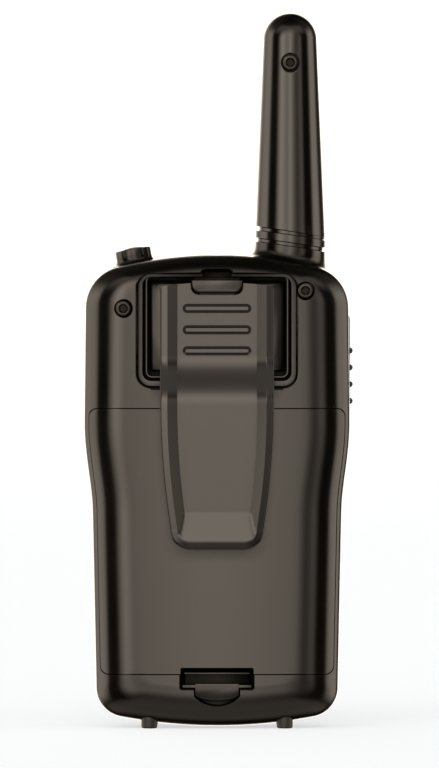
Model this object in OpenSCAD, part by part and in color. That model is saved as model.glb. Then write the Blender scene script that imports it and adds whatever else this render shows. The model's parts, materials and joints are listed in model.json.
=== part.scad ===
// Handheld two-way radio: two-part case with a helical antenna in a two-part sheath, a torch
// turret, a sprung belt clip, a battery door with a sprung latch, and three AA cells.
// Millimetres. +Z is up, +Y is the front (screen and speaker), +X the side of the talk button.
// The origin is on the surface that the radio stands on, under the middle of its overall depth.

/* [Body] */
// Widest width of the case, above the waist
body_w = 61.2; // [58:0.2:64]
// Width of the grip, just under the waist
grip_w = 57.3; // [55:0.1:58]
// Width just above the bottom corners
base_w = 55.6; // [54:0.1:57]
// Height of the case's top above the standing surface
body_top = 108.9; // [107:0.1:111]
// Lowest point of the rounded bottom
belly_z = 0.5; // [0.4:0.1:1]
// Depth of the case, front to back, without clip and keys
body_d = 31; // [30.6:0.1:33]
// Wall of the case
wall = 1.9; // [1.7:0.1:2.1]

/* [Antenna] */
// Overall height, feet to antenna tip
overall_h = 164.7; // [155:0.1:175]
// Sideways place of the antenna
antenna_x = 16.84; // [16:0.02:17.4]
// Radius of the sheath just above its collar
antenna_base_r = 8.2; // [8:0.05:8.4]
// Radius of the domed tip
antenna_tip_r = 6.2; // [5.8:0.05:6.6]

/* [Torch] */
// Sideways place of the torch turret
torch_x = -18.9; // [-19.4:0.1:-18]
// Outer radius of the turret
torch_r = 4.15; // [4:0.05:4.3]

/* [Talk button] */
// Length of the talk button
ptt_len = 23.6; // [20:0.1:24]
// Centre height of the talk button
ptt_z = 83.1; // [82:0.1:85]

/* [Belt clip] */
// Width of the clip's blade
clip_w = 26.1; // [24:0.1:27]
// Height of the clip's top edge
clip_top = 102.4; // [101.5:0.1:102.6]
// Height of the clip's lower tip
clip_bottom = 41.3; // [38:0.1:46]
// Clear space between the blade and the case
belt_gap = 4.4; // [4.2:0.1:5]

/* [Battery door] */
// Lower edge of the door
door_z0 = 12.4; // [12:0.1:13]
// Upper edge of the door
door_z1 = 73.6; // [73:0.1:74]
// How far the door's side edges lie inside the case's outline
door_margin = 1; // [0.8:0.1:1.4]

/* [Front panel] */
// Width of the display window
window_w = 32; // [26:1:36]
// Height of the display window
window_h = 21; // [18:1:22]
// Radius of the loudspeaker
speaker_r = 18; // [16:0.5:18]

/* [Hidden] */

eps = 0.01;
rear_y = -body_d / 2;
front_y = body_d / 2;
case_colour = [0.16, 0.15, 0.13];
dark_colour = [0.07, 0.07, 0.065];

// Case outline, seen from the back
waist_z0 = 50;
waist_z1 = 71;
top_sweep_r = 92;       // radius of the gently arched top
belly_sweep_r = 115;    // radius of the gently arched bottom
top_corner_r = 9.7;
base_corner_r = 6.9;
// How far the rounded edge reaches in from the outline, and how deep it is
round_side = 10;
round_top = 5.5;
round_base = 9;
round_depth = 7.5;
front_round = 6;
front_round_depth = 5;

function smooth(t) = let (c = min(1, max(0, t))) c * c * (3 - 2 * c);
function mix(a, b, t) = a + (b - a) * t;
function lower_half(z) = mix(base_w, grip_w, (z - 10) / 40) / 2;
function upper_half(z) = (body_w - 0.023 * (z - waist_z1)) / 2;
function half_width(z) =
    mix(lower_half(z), upper_half(z), smooth((z - waist_z0) / (waist_z1 - waist_z0)));

// One half of the outline, bottom centre to top centre, moved in by side, top and base
function half_outline(side, top, base, top_r, base_r) =
    let (
        low_x = half_width(10) - side - base_r,
        low_a = asin(low_x / belly_sweep_r),
        low_end = low_x + base_r * sin(low_a),
        low_z = belly_z + base + pow(low_end, 2) / (2 * belly_sweep_r) + base_r * cos(low_a),
        high_x = half_width(97) - side - top_r,
        high_a = asin(high_x / top_sweep_r),
        high_end = high_x + top_r * sin(high_a),
        high_z = body_top - top - pow(high_end, 2) / (2 * top_sweep_r) - top_r * cos(high_a)
    )
    concat(
        [for (i = [0:1]) let (x = low_end * i / 2)
            [x, belly_z + base + pow(x, 2) / (2 * belly_sweep_r)]],
        [for (i = [0:3]) let (a = mix(low_a - 90, 0, i / 4))
            [low_x + base_r * cos(a), low_z + base_r * sin(a)]],
        [for (i = [0:9]) let (z = mix(low_z, high_z, i / 9))
            [half_width(z) - side + (i == 0 ? half_width(10) - half_width(low_z) : 0), z]],
        [for (i = [1:4]) let (a = mix(0, 90 - high_a, i / 4))
            [high_x + top_r * cos(a), high_z + top_r * sin(a)]],
        [for (i = [1:3]) let (x = high_end * (1 - i / 3))
            [x, body_top - top - pow(x, 2) / (2 * top_sweep_r)]]
    );

// The full outline, clockwise from the top centre as seen from the back
function outline(side, top, base, top_r, base_r) =
    let (half = half_outline(side, top, base, top_r, base_r), n = len(half))
    concat([for (i = [n - 1:-1:0]) half[i]], [for (i = [1:n - 2]) [-half[i].x, half[i].y]]);

// Ring of the rounded edge: turn 0 is the side wall, turn 90 the flat face
function ring(turn, side, top, base, depth, side_y) =
    let (
        k = 1 - cos(turn),
        loop = outline(side * k, top * k, base * k, mix(top_corner_r, 4, k), mix(base_corner_r, 4, k)),
        y = side_y + depth * sin(turn)
    )
    [for (p = loop) [p.x, y, p.y]];

// A closed solid through rings that all have the same number of points
module skin(rings) {
    n = len(rings[0]);
    m = len(rings);
    polyhedron(
        points = [for (r = rings) for (p = r) p],
        faces = concat(
            [[for (i = [0:n - 1]) i]],
            [for (j = [0:m - 2]) for (i = [0:n - 1]) let (k = (i + 1) % n)
                [j * n + i, (j + 1) * n + i, (j + 1) * n + k]],
            [for (j = [0:m - 2]) for (i = [0:n - 1]) let (k = (i + 1) % n)
                [j * n + i, (j + 1) * n + k, j * n + k]],
            [[for (i = [n - 1:-1:0]) (m - 1) * n + i]]
        ),
        convexity = 6
    );
}

// The back half of the case as a solid, from its flat back to the parting plane
module rear_body(steps = 4) {
    skin(concat(
        [for (i = [steps:-1:0]) ring(90 * i / steps, round_side, round_top, round_base,
                                     -round_depth, rear_y + round_depth)],
        [ring(0, 0, 0, 0, 0, 0)]
    ));
}

// The front half of the case as a solid, from the parting plane to its flat front
module front_body(steps = 3) {
    skin(concat(
        [ring(0, 0, 0, 0, 0, 0)],
        [for (i = [0:steps]) ring(90 * i / steps, front_round, front_round, front_round,
                                  front_round_depth, front_y - front_round_depth)]
    ));
}

// A straight-sided solid inside the case, its sides moved in from the case's outline
module core(y0, y1, inset, low = -20, high = 200) {
    intersection() {
        along_y(y0, y1)
           polygon(outline(inset, inset, inset, max(top_corner_r - inset, 1.5),
                           max(base_corner_r - inset, 1.5)));
        if (low > 0 || high < 150) block([-60, -60, low], [60, 60, high]);
    }
}

// Everything behind (y below) or in front of (y above) a plane
module behind(y) { translate([-60, y - 60, -20]) cube([120, 60, 200]); }
module in_front_of(y) { translate([-60, y, -20]) cube([120, 60, 200]); }

// A prism along Y from a shape drawn as seen from the back (x, z)
module along_y(y0, y1) {
    translate([0, y1, 0]) rotate([90, 0, 0]) linear_extrude(y1 - y0) children();
}

// A prism along X from a shape drawn from the side (y, z)
module along_x(x0, x1) {
    translate([x0, 0, 0]) rotate([90, 0, 90]) linear_extrude(x1 - x0) children();
}

// A round bar along Y
module bar_y(x, z, y0, y1, r) {
    translate([x, y1, z]) rotate([90, 0, 0]) cylinder(r = r, h = y1 - y0, $fn = 48);
}

// A round bar along X
module bar_x(y, z, x0, x1, r) {
    translate([x0, y, z]) rotate([0, 90, 0]) cylinder(r = r, h = x1 - x0, $fn = 48);
}

// A box from its lowest to its highest corner
module block(low, high) { translate(low) cube(high - low); }

// A rectangle with rounded corners, from exact circles and squares
module rounded(x0, z0, x1, z1, r) {
    translate([x0 + r, z0]) square([x1 - x0 - 2 * r, z1 - z0]);
    translate([x0, z0 + r]) square([x1 - x0, z1 - z0 - 2 * r]);
    for (x = [x0 + r, x1 - r], z = [z0 + r, z1 - r]) translate([x, z]) circle(r = r, $fn = 40);
}

// A round wire along a coil on +Z: pitch and radius may change along it
module coil(turns, r0, r1, height, wire_r, steps = 14, sides = 6) {
    count = round(turns * steps);
    skin([for (i = [0:count]) let (a = 360 * i / steps, r = mix(r0, r1, i / count))
        [for (j = [0:sides - 1]) let (b = -360 * j / sides)
            [(r + wire_r * cos(b)) * cos(a), (r + wire_r * cos(b)) * sin(a),
             height * i / count + wire_r * sin(b)]]]);
}

/* Case */

// Screw places, as [x, z, y of the head's seat]
case_screw_places = [[-21.5, 96.4, -12.9], [20.3, 100.5, -12.9], [-24.6, 18, -9.2], [24.6, 18, -9.2]];
screw_head_r = 1.95;
screw_head_h = 1.5;
screw_r = 1.1;
screw_core_r = 0.9;
boss_r = 2.4;

// Pocket behind the belt clip
pocket_half = 18.4;
pocket_z0 = 78.2;
pocket_z1 = 104;
pocket_floor = rear_y + 5.5;
plate_half = 15.45;
plate_z0 = 82.1;
plate_z1 = 102.7;
rail_y = pocket_floor - 2.4;
floor_t = 2.6;
toe_x = 10;
toe_z = 80.7;
tab_half = 5.5;
tab_arm_half = 4;
tab_z0 = 91;
catch_z = 104.7;
window_gap = 0.4;

// Battery compartment
tub_half = 22;
tub_z0 = 14.2;
tub_z1 = 71.8;
tub_floor = 1.6;
tub_wall = 1.2;
cell_r = 7.1;
cell_len = 50.5;
cell_y = -5.9;
cell_pitch = 14.6;

// Latch window and finger recess
latch_half = 8.4;
latch_z0 = 9.15;
latch_z1 = 14.1;
tongue_half = 5;
recess_z = 5.2;
recess_r = 7.5;

door_t = 1.9;           // thickness of the door
door_gap = 0.2;
door_edge_y = -11.2;    // how far forward the door's side edges reach
seat_gap = 0.2;
door_corner_r = 1.9;

talk_half = 5;          // half the talk button's width, front to back
jack_y = 5.5;
jack_z = 88;
foot_x = 15.55;
foot_y = 9.3;
foot_r = 1.85;

// The door's area as seen from the back, smaller by gap on every side
module door_area(gap) {
    module area(margin, z0, z1) {
        steps = 6;
        right = [for (i = [0:steps]) let (z = mix(z0, z1, i / steps)) [half_width(z) - margin, z]];
        polygon(concat(right, [for (i = [steps:-1:0]) [-right[i].x, right[i].y]]));
    }
    r = door_corner_r;
    area(door_margin + gap, door_z0 + gap + r, door_z1 - gap - r);
    area(door_margin + gap + r, door_z0 + gap, door_z1 - gap);
    for (z = [door_z0 + gap + r, door_z1 - gap - r], s = [-1, 1])
        translate([s * (half_width(z) - door_margin - gap - r), z]) circle(r = r, $fn = 40);
}

// The latch window and the finger recess under it, as seen from the back
module window_area() { translate([-latch_half, latch_z0]) square([2 * latch_half, latch_z1 - latch_z0]); }
module recess_area(grow = 0) {
    intersection() {
        translate([-tongue_half - grow, recess_z - 1])
           square([2 * (tongue_half + grow), latch_z0 - recess_z + 1.2]);
        translate([0, recess_z + recess_r - grow]) circle(r = recess_r, $fn = 96);
    }
}

module antenna_hole() { translate([antenna_x, 0, 98]) cylinder(r = 6.1, h = 20, $fn = 64); }
module torch_place() { translate([torch_x, 0, body_top - 2]) rotate([0, -10, 0]) children(); }
module torch_hole() {
    torch_place() {
        translate([0, 0, -6]) cylinder(r = 3.9, h = 20, $fn = 48);
        translate([0, 0, -0.5]) cylinder(r = torch_r + 1.15, h = 6, $fn = 64);
    }
}
module talk_window() {
    block([23.5, -talk_half - 0.2, ptt_z - ptt_len / 2 - 0.2],
         [40, talk_half + 0.2, ptt_z + ptt_len / 2 + 0.2]);
}
module foot_holes() {
    for (x = [-foot_x, foot_x], y = [-foot_y, foot_y])
        translate([x, y, -2]) cylinder(r = foot_r + 0.05, h = 8, $fn = 48);
}
module top_channel() { block([-3.4, -30, body_top - 0.25], [3.4, 30, body_top + 5]); }

// The door's seat: flat in the middle, falling away to the sides, moved out by gap
module door_seat(gap) {
    y = rear_y + door_t + seat_gap - gap;
    levels = [for (i = [0:6]) mix(door_z0 - 4, door_z1 + 4, i / 6)];
    skin([for (z = levels) let (w = half_width(z)) [for (p = [
        [-w + 4.5, y + 1.1], [-w + 8.5, y], [w - 8.5, y], [w - 4.5, y + 1.1],
        [w - 0.4, door_edge_y + seat_gap - gap], [w - 0.4, 0], [-w + 0.4, 0],
        [-w + 0.4, door_edge_y + seat_gap - gap]]) [p.x, p.y, z]]]);
}

// Stub under the antenna, cut to the tilt of its lower groove
stub_z = 111.2;
groove_tilt = 8.4;
stub_flare = 3.4;
// Right side of the stub, where it comes down into the case's shoulder, as [x, z]
stub_side = [[0, 95], [27.4, 95], [27.4, 103.4], [26.6, 104.9], [25.7, 107], [25.3, 109], [25.3, 130],
             [0, 130]];
module stub_plane() { translate([antenna_x, 0, stub_z]) rotate([0, groove_tilt, 0]) children(); }
module antenna_stub(y0, y1) {
    difference() {
        intersection() {
            translate([antenna_x, 0, 0]) rotate_extrude($fn = 96)
                polygon(concat([[0, 98], [antenna_base_r, 98], [antenna_base_r + stub_flare, 103]],
                               flare(), [[0, sheath_z0 + 3]]));
            along_y(y0, y1) polygon(stub_side);
        }
        stub_plane() translate([-20, -20, -0.55]) cube([40, 40, 20]);
    }
}

module rear_housing() {
    color(case_colour) difference() {
        union() {
            difference() {
                rear_body();
                core(rear_y + round_depth - 1, eps, wall);
                core(rear_y + round_depth - 4, rear_y + round_depth, 4.4, 75.5);
            }
            antenna_stub(-20, 0);
            // Walls behind the clip's pocket
            along_y(rear_y + 2, pocket_floor + floor_t)
                rounded(-pocket_half - 1.4, pocket_z0 - 2.7, pocket_half + 1.4, 106, 3);
            // Battery compartment
            block([-tub_half - tub_wall, rear_y + 3, tub_z0 - tub_wall],
                  [tub_half + tub_wall, tub_floor + tub_wall, tub_z1 + tub_wall]);
            for (p = case_screw_places) bar_y(p.x, p.y, p.z - 1.2, 0, boss_r + 0.5);
        }
        // Clip pocket with its toe slots, catch slots and room for the release finger
        along_y(-30, pocket_floor)
            rounded(-plate_half - 0.15, plate_z0 - 0.1, plate_half + 0.15, pocket_z1, 1);
        along_y(-30, rail_y) rounded(-pocket_half, pocket_z0, pocket_half, pocket_z1, 3);
        for (x = [-toe_x, toe_x])
            block([x - 2.2, pocket_floor - 1.5, toe_z - 0.1], [x + 2.2, pocket_floor, plate_z0 + 1]);
        block([-tab_half, pocket_floor - 2.3, pocket_z1 - 2], [tab_half, pocket_floor + 1.2, catch_z + 0.3]);
        block([-tab_arm_half - 0.5, pocket_floor - 1, tab_z0 + 2],
              [tab_arm_half + 0.5, pocket_floor + 1.2, pocket_z1]);
        // Thumb scoop over the clip
        block([-2.9, -30, pocket_z1 - 1], [2.9, pocket_floor - 1, 107]);
        top_channel();
        // Room for the door and its two hooks
        difference() {
            along_y(-30, door_edge_y + seat_gap) door_area(0);
            door_seat(0);
        }
        for (x = [-12, 12]) block([x - 2.9, -14, tub_z1 - 1], [x + 2.9, -11.4, 75.6]);
        block([-tub_half, -30, tub_z0], [tub_half, tub_floor, tub_z1]);
        // Latch window and finger recess
        along_y(-30, -10.9) window_area();
        along_y(-30, -12.9) recess_area(0.2);
        for (p = case_screw_places) {
            bar_y(p.x, p.y, -30, p.z, screw_head_r + 0.15);
            bar_y(p.x, p.y, -30, 5, screw_r + 0.1);
        }
        antenna_hole();
        torch_hole();
        talk_window();
        foot_holes();
    }
}

window_z = 82;
speaker_z = 27;
mic_x = -19;
mic_z = 50;
key_stem_r = 2;
// Key places, as [x, z, half width, half height]
key_places = [[-19, 62, 3.2, 3.2], [19, 62, 3.2, 3.2], [0, 53, 3.6, 3.6], [-9.5, 60, 4.2, 3.2],
              [9.5, 60, 4.2, 3.2]];
module key_shape(k, grow = 0) {
    p = key_places[k];
    r = min(p[2], p[3]) + grow;
    for (s = [-1, 1]) translate([p.x + s * (p[2] + grow - r), p.y]) circle(r = r, $fn = 48);
    if (p[2] > p[3]) translate([p.x - p[2] - grow + r, p.y - r]) square([2 * (p[2] + grow - r), 2 * r]);
}
module front_housing() {
    window_x = window_w / 2;
    window_y = window_h / 2;
    color(case_colour) difference() {
        union() {
            difference() {
                front_body();
                core(-eps, front_y - front_round_depth + 1, wall);
                core(5, front_y - wall, wall + 2.4);
            }
            antenna_stub(0, 20);
            for (p = case_screw_places) bar_y(p.x, p.y, 0, front_y - wall + 0.3, boss_r);
            // Ring that holds the loudspeaker
            difference() {
                bar_y(0, speaker_z, 11.4, front_y - wall + 0.3, speaker_r + 1.3);
                bar_y(0, speaker_z, 11, front_y, speaker_r + 0.1);
            }
        }
        for (p = case_screw_places) bar_y(p.x, p.y, -1, 7, screw_core_r + 0.25);
        // Room for the back of the battery compartment
        block([-tub_half - tub_wall - 0.1, -1, tub_z0 - tub_wall - 0.1],
              [tub_half + tub_wall + 0.1, tub_floor + tub_wall + 0.1, tub_z1 + tub_wall + 0.1]);
        // Display window and its seat
        along_y(front_y - 1.5, 30)
            rounded(-window_x - 0.1, window_z - window_y - 0.1, window_x + 0.1,
                    window_z + window_y + 0.1, 2.6);
        along_y(0.5, 30)
            rounded(-window_x + 2, window_z - window_y + 2, window_x - 2, window_z + window_y - 2, 1);
        for (k = [0:4]) along_y(5, 30) key_shape(k, 0.2);
        // Speaker slots and the hole for the microphone
        for (i = [-4:4]) {
            reach = sqrt(pow(speaker_r - 3, 2) - pow(3.2 * i, 2));
            along_y(5, 30) rounded(-reach, speaker_z + 3.2 * i - 0.7, reach, speaker_z + 3.2 * i + 0.7, 0.65);
        }
        bar_y(mic_x, mic_z, 5, 30, 0.7);
        top_channel();
        antenna_hole();
        torch_hole();
        talk_window();
        foot_holes();
        // Seat of the jack cover, and the hole for the jack
        along_x(-40, -29.2) rounded(jack_y - 3.6, jack_z - 5.1, jack_y + 3.6, jack_z + 5.1, 1.5);
        bar_x(jack_y, jack_z, -40, -20, 2.7);
    }
}

/* Battery door and latch */

module battery_door() {
    color(case_colour) union() {
        difference() {
            intersection() {
                rear_body();
                along_y(-30, door_edge_y) door_area(door_gap);
            }
            door_seat(seat_gap);
            along_y(-30, 0) translate([-latch_half, 0]) square([2 * latch_half, latch_z1]);
        }
        // Hooks behind the case's edge, and ribs that lie between the cells
        for (x = [-12, 12]) block([x - 2.5, -13.75, 72.2], [x + 2.5, -12.4, 73.2]);
        for (x = [-12, 12]) block([x - 2.5, -13.3, 73.1], [x + 2.5, -12.4, 75]);
        for (x = [-cell_pitch / 2, cell_pitch / 2]) block([x - 0.5, -13.8, 20], [x + 0.5, -12.9, 66]);
    }
}

module battery_door_latch() {
    color(case_colour) {
        // Bar and tongue under the thumb
        block([-latch_half + 0.4, -14.9, latch_z0 + 0.2], [latch_half - 0.4, -11.4, latch_z0 + 1.3]);
        along_y(-15, -13.5) intersection() {
            translate([-tongue_half + 0.1, recess_z])
                square([2 * tongue_half - 0.2, latch_z0 - recess_z + 0.6]);
            translate([0, recess_z + 1.3 + 10]) circle(r = 10, $fn = 96);
        }
        // Back and upper leg of the springy U
        block([-latch_half + 0.9, -12.2, latch_z0 + 0.3], [latch_half - 0.9, -11.4, 13]);
        block([-latch_half + 0.9, -14.8, 12.4], [latch_half - 0.9, -11.5, 13]);
    }
}

/* Belt clip */

pivot_y = -14.2;
pivot_z = 84.3;
pin_r = 0.95;
pin_bore_r = 1;
lug_r = 2.1;
lever_in = -16.4;                       // inner face of the lever over the pocket
blade_in = rear_y - belt_gap;           // inner face of the blade under the step
blade_t = 2.2;                          // thickness at the rims
key_rise = 0.9;                         // how far the keys stand out of the front
stand_y = (blade_t - blade_in - front_y - key_rise) / 2;
dish = 0.9;                             // depth of the dished middle
rim_w = 2;
jog_z0 = 77.4;
jog_z1 = 83.8;
taper_z = 74;                           // the blade narrows below here
taper = 0.0029;                         // narrowing for each square millimetre of height
taper_steps = 6;
tip_r = 4.6;                            // round corners of the tip, and their centres
tip_x = 6.16;
rib_z = [96.4, 91.5, 86.7];             // grip ribs in the dish
rib_half = 7.6;
rib_r = 0.65;
rib_rise = 0.4;
ear_x = 7.9;                            // the clip's ears stand inside the plate's lugs
lug_x = 10.1;
lug_half = 0.9;

module lug(x0, x1, base_y) {
    difference() {
        union() {
            bar_x(pivot_y, pivot_z, x0, x1, lug_r);
            block([x0, min(pivot_y, base_y), pivot_z - lug_r], [x1, max(pivot_y, base_y), pivot_z + lug_r]);
        }
        bar_x(pivot_y, pivot_z, x0 - 1, x1 + 1, pin_bore_r);
    }
}

module clip_base_plate() {
    color(case_colour) {
        difference() {
            union() {
                along_y(pocket_floor - 1.3, pocket_floor - 0.05)
                    rounded(-plate_half, plate_z0, plate_half, plate_z1, 0.8);
                for (x = [-toe_x, toe_x])
                    block([x - 2, pocket_floor - 1.3, toe_z], [x + 2, pocket_floor - 0.05, plate_z0 + 1]);
            }
            block([-tab_arm_half - window_gap, -20, tab_z0 - window_gap],
                  [tab_arm_half + window_gap, 0, plate_z1 + 1]);
            block([-tab_half - window_gap, -20, clip_top - 2.6], [tab_half + window_gap, 0, plate_z1 + 1]);
        }
        for (x = [-lug_x, lug_x]) lug(x - lug_half, x + lug_half, pocket_floor - 0.5);
    }
}

// Springy finger in the plate's window: its head fills the notch at the top of the clip
module clip_release_tab() {
    head_z = clip_top - 2.3;
    color(case_colour) {
        block([-tab_arm_half, pocket_floor - 1.25, tab_z0],
              [tab_arm_half, pocket_floor - 0.25, pocket_z1 - 0.5]);
        block([-tab_arm_half, pocket_floor - 1.7, head_z],
              [tab_arm_half, pocket_floor - 0.25, pocket_z1 - 0.5]);
        along_y(lever_in - 1.7, pocket_floor - 1.4)
            rounded(-tab_half, head_z, tab_half, pocket_z1 - 0.5, 0.9);
        for (s = [-1, 1])
            block([s * 4.2 - 1, pocket_floor - 1.9, pocket_z1 - 1.1],
                  [s * 4.2 + 1, pocket_floor - 0.9, catch_z]);
    }
}

// Blade outline as seen from the back: straight over the pocket, tapered below, round tip
module blade_area(inset) {
    w = clip_w / 2 - inset;
    r = tip_r - inset;
    fall = taper_z - clip_bottom - tip_r;
    half = concat(
        [[w - 1.2, clip_top - inset], [w, clip_top - inset - 1.2]],
        [for (i = [0:taper_steps]) let (d = fall * i / taper_steps) [w - taper * d * d, taper_z - d]],
        [for (a = [-8:-16.4:-90]) [tip_x + r * cos(a), clip_bottom + tip_r + r * sin(a)]]
    );
    polygon(concat(half, [for (i = [len(half) - 1:-1:0]) [-half[i].x, half[i].y]]));
}

// Side profile of the clip between an inner and an outer face, each as a depth off the lever
module blade_profile(inner, outer, z0, z1) {
    step = lever_in - blade_in;
    polygon([[lever_in - inner, z1], [lever_in - inner, jog_z1], [lever_in - inner - step, jog_z0],
             [lever_in - inner - step, z0], [lever_in - outer - step, z0],
             [lever_in - outer - step, jog_z0 - 0.8], [lever_in - outer, jog_z1 - 0.8],
             [lever_in - outer, z1]]);
}

module clip_blade() {
    color(case_colour) {
        difference() {
            intersection() {
                along_x(-20, 20) blade_profile(0, blade_t, clip_bottom - 1, clip_top + 1);
                along_y(-40, -10) blade_area(0);
            }
            intersection() {
                along_x(-20, 20) blade_profile(blade_t - dish, blade_t + 5, clip_bottom + 3, clip_top + 2);
                along_y(-40, -10) difference() {
                    translate([0, 3]) blade_area(rim_w + 1);
                    translate([-30, clip_top - 2]) square([60, 0.001]);
                }
            }
            // Notch in the top edge
            along_y(-40, -10) rounded(-6, clip_top - 2.9, 6, clip_top + 5, 1.8);
        }
        // Grip ribs in the dish
        for (z = rib_z)
            along_y(lever_in - blade_t + dish - rib_rise, lever_in - 1)
                rounded(-rib_half, z - rib_r - 0.05, rib_half, z + rib_r + 0.05, rib_r);
        // Lip at the tip, and ears for the pin
        intersection() {
            along_y(blade_in - 0.2, blade_in + 1) blade_area(0);
            block([-20, -30, clip_bottom - 1], [20, 0, clip_bottom + 2.2]);
        }
        for (x = [-ear_x, ear_x]) lug(x - lug_half, x + lug_half, lever_in - 1.1);
    }
}

module clip_hinge_pin() { color("silver") bar_x(pivot_y, pivot_z, -10.9, 10.9, pin_r); }

module clip_spring() {
    color("silver") {
        translate([-3, pivot_y, pivot_z]) rotate([0, 90, 0]) coil(6, 1.6, 1.6, 6, 0.28, 12, 6);
        for (s = [-1, 1]) translate([3 * s, pivot_y + 1.6 * s, pivot_z])
            cylinder(r = 0.28, h = s > 0 ? 6 : 0.5, $fn = 16);
    }
}

/* Talk button */

module ptt_button() {
    z0 = ptt_z - ptt_len / 2;
    face_x = body_w / 2;
    color(dark_colour) {
        along_x(27.2, face_x) rounded(-talk_half, z0, talk_half, z0 + ptt_len, 1.6);
        along_x(26.5, 27.4) rounded(-talk_half - 1, z0 - 1, talk_half + 1, z0 + ptt_len + 1, 1.6);
        for (z = [75.2:3.87:87])
            translate([face_x - 0.05, -talk_half + 1, z]) rotate([-90, 0, 0])
                cylinder(r = 0.72, h = 2 * talk_half - 2, $fn = 32);
    }
}

module ptt_switch() {
    color("gray") {
        block([21.2, 0.8, ptt_z - 3], [24.7, 5.2, ptt_z + 3]);
        block([24.6, 2, ptt_z - 1], [25.4, 4, ptt_z + 1]);
    }
}

/* Antenna */

sheath_wall = 1.5;
sheath_z0 = 112;
dome_z = overall_h - antenna_tip_r;
// Curve of the flared foot
function flare(steps = 7) =
    [for (i = [0:steps]) let (a = 90 * i / steps)
        [antenna_base_r + 3.4 - 3.4 * sin(a), sheath_z0 - 3.4 * cos(a)]];
module sheath(inset) {
    rotate_extrude($fn = 96) union() {
        polygon([[0, 104], [antenna_base_r - inset, 104], [antenna_base_r - inset, sheath_z0],
                 [antenna_tip_r - inset, dome_z], [0, dome_z]]);
        intersection() {
            translate([0, dome_z]) circle(r = antenna_tip_r - inset, $fn = 96);
            translate([0, dome_z - 1]) square([20, 20]);
        }
    }
}
// The sheath above the stub, with a spigot that plugs into it
module antenna_solid() {
    difference() {
        union() {
            difference() {
                translate([antenna_x, 0, 0]) sheath(0);
                stub_plane() translate([-20, -20, -30.5]) cube([40, 40, 30]);
                for (h = [-0.5, 2.1]) stub_plane() translate([0, 0, h]) difference() {
                    cylinder(r = 12, h = 1, $fn = 64);
                    translate([0, 0, -1]) cylinder(r = antenna_base_r - 0.45, h = 3, $fn = 64);
                }
            }
            translate([antenna_x, 0, 104]) cylinder(r = 6, h = 12, $fn = 64);
        }
        translate([antenna_x, 0, 100]) cylinder(r = 4.6, h = 14, $fn = 64);
        translate([antenna_x, 0, 0]) difference() {
            sheath(sheath_wall);
            translate([0, 0, 90]) cylinder(r = 20, h = 23.9, $fn = 64);
        }
    }
}
antenna_screw_z = 153.1;
antenna_seat_y = -4.7;

module antenna_rear_shell() {
    color(case_colour) difference() {
        union() {
            intersection() { antenna_solid(); behind(0); }
            bar_y(antenna_x, antenna_screw_z, antenna_seat_y - 0.6, 0, boss_r + 0.4);
        }
        bar_y(antenna_x, antenna_screw_z, -30, antenna_seat_y, screw_head_r + 0.25);
        bar_y(antenna_x, antenna_screw_z, -30, 5, screw_r + 0.1);
    }
}
module antenna_front_shell() {
    color(case_colour) difference() {
        union() {
            intersection() { antenna_solid(); in_front_of(0); }
            bar_y(antenna_x, antenna_screw_z, 0, 5.2, boss_r);
        }
        bar_y(antenna_x, antenna_screw_z, -1, 4.6, screw_core_r + 0.25);
    }
}
module antenna_coil() { color("peru") translate([antenna_x, 0, 110.2]) coil(12, 3.1, 3.1, 37, 0.5); }
module antenna_former() {
    color("white") translate([antenna_x, 0, 0]) {
        translate([0, 0, 104]) cylinder(r = 2.5, h = 44, $fn = 40);
        translate([0, 0, 104.5]) cylinder(r = 4.4, h = 5, $fn = 40);
    }
}

// A self-tapping screw along +Y with its head's underside at y = 0
module screw(length) {
    difference() {
        rotate([90, 0, 0]) union() {
            translate([0, 0, -eps]) cylinder(r = screw_head_r, h = screw_head_h - 0.3, $fn = 48);
            translate([0, 0, screw_head_h - 0.31])
            cylinder(r1 = screw_head_r, r2 = screw_head_r - 0.35, h = 0.3, $fn = 48);
            translate([0, 0, -length + 1.5]) cylinder(r = screw_r, h = length - 1.5, $fn = 32);
            translate([0, 0, -length]) cylinder(r1 = 0.3, r2 = screw_r, h = 1.51, $fn = 32);
        }
        for (a = [0, 90]) rotate([0, a, 0])
            block([-1.15, -screw_head_h - 1, -0.28], [1.15, -screw_head_h + 0.9, 0.28]);
    }
}
module case_screws() {
    color("dimgray") for (p = case_screw_places) translate([p.x, p.z - 0.02, p.y]) screw(-p.z - 0.1);
}
module antenna_screw() {
    color("dimgray") translate([antenna_x, antenna_seat_y - 0.02, antenna_screw_z]) screw(4.6);
}

/* Torch */

torch_h = 3.4;
module torch_bezel() {
    color(case_colour) torch_place() difference() {
        union() {
            translate([0, 0, -4]) cylinder(r = 3.8, h = 5, $fn = 48);
            translate([0, 0, -0.45]) cylinder(r = torch_r + 1.1, h = 0.46, $fn = 64);
            cylinder(r1 = torch_r + 1.1, r2 = torch_r, h = 1.4, $fn = 64);
            translate([0, 0, 1.39]) cylinder(r = torch_r, h = torch_h - 1.39, $fn = 64);
        }
        translate([0, 0, torch_h - 0.9]) cylinder(r = 3.35, h = 2, $fn = 48);
        translate([0, 0, -5]) cylinder(r = 2.9, h = 12, $fn = 48);
        for (a = [0:60:300]) rotate([0, 0, a]) translate([torch_r + 0.25, 0, 1.6])
            cylinder(r = 0.5, h = 3, $fn = 24);
    }
}
module torch_lens() {
    color("white", 0.5) torch_place() translate([0, 0, torch_h - 0.85]) intersection() {
        cylinder(r = 3.3, h = 3, $fn = 48);
        translate([0, 0, -7.6]) sphere(r = 9, $fn = 96);
    }
}
module torch_reflector() {
    color("silver") torch_place() difference() {
        translate([0, 0, -3]) cylinder(r = 2.85, h = 5.4, $fn = 48);
        translate([0, 0, -2.2]) cylinder(r1 = 1.4, r2 = 2.6, h = 4.7, $fn = 48);
        translate([0, 0, -4]) cylinder(r = 1.4, h = 3, $fn = 40);
    }
}
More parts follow.
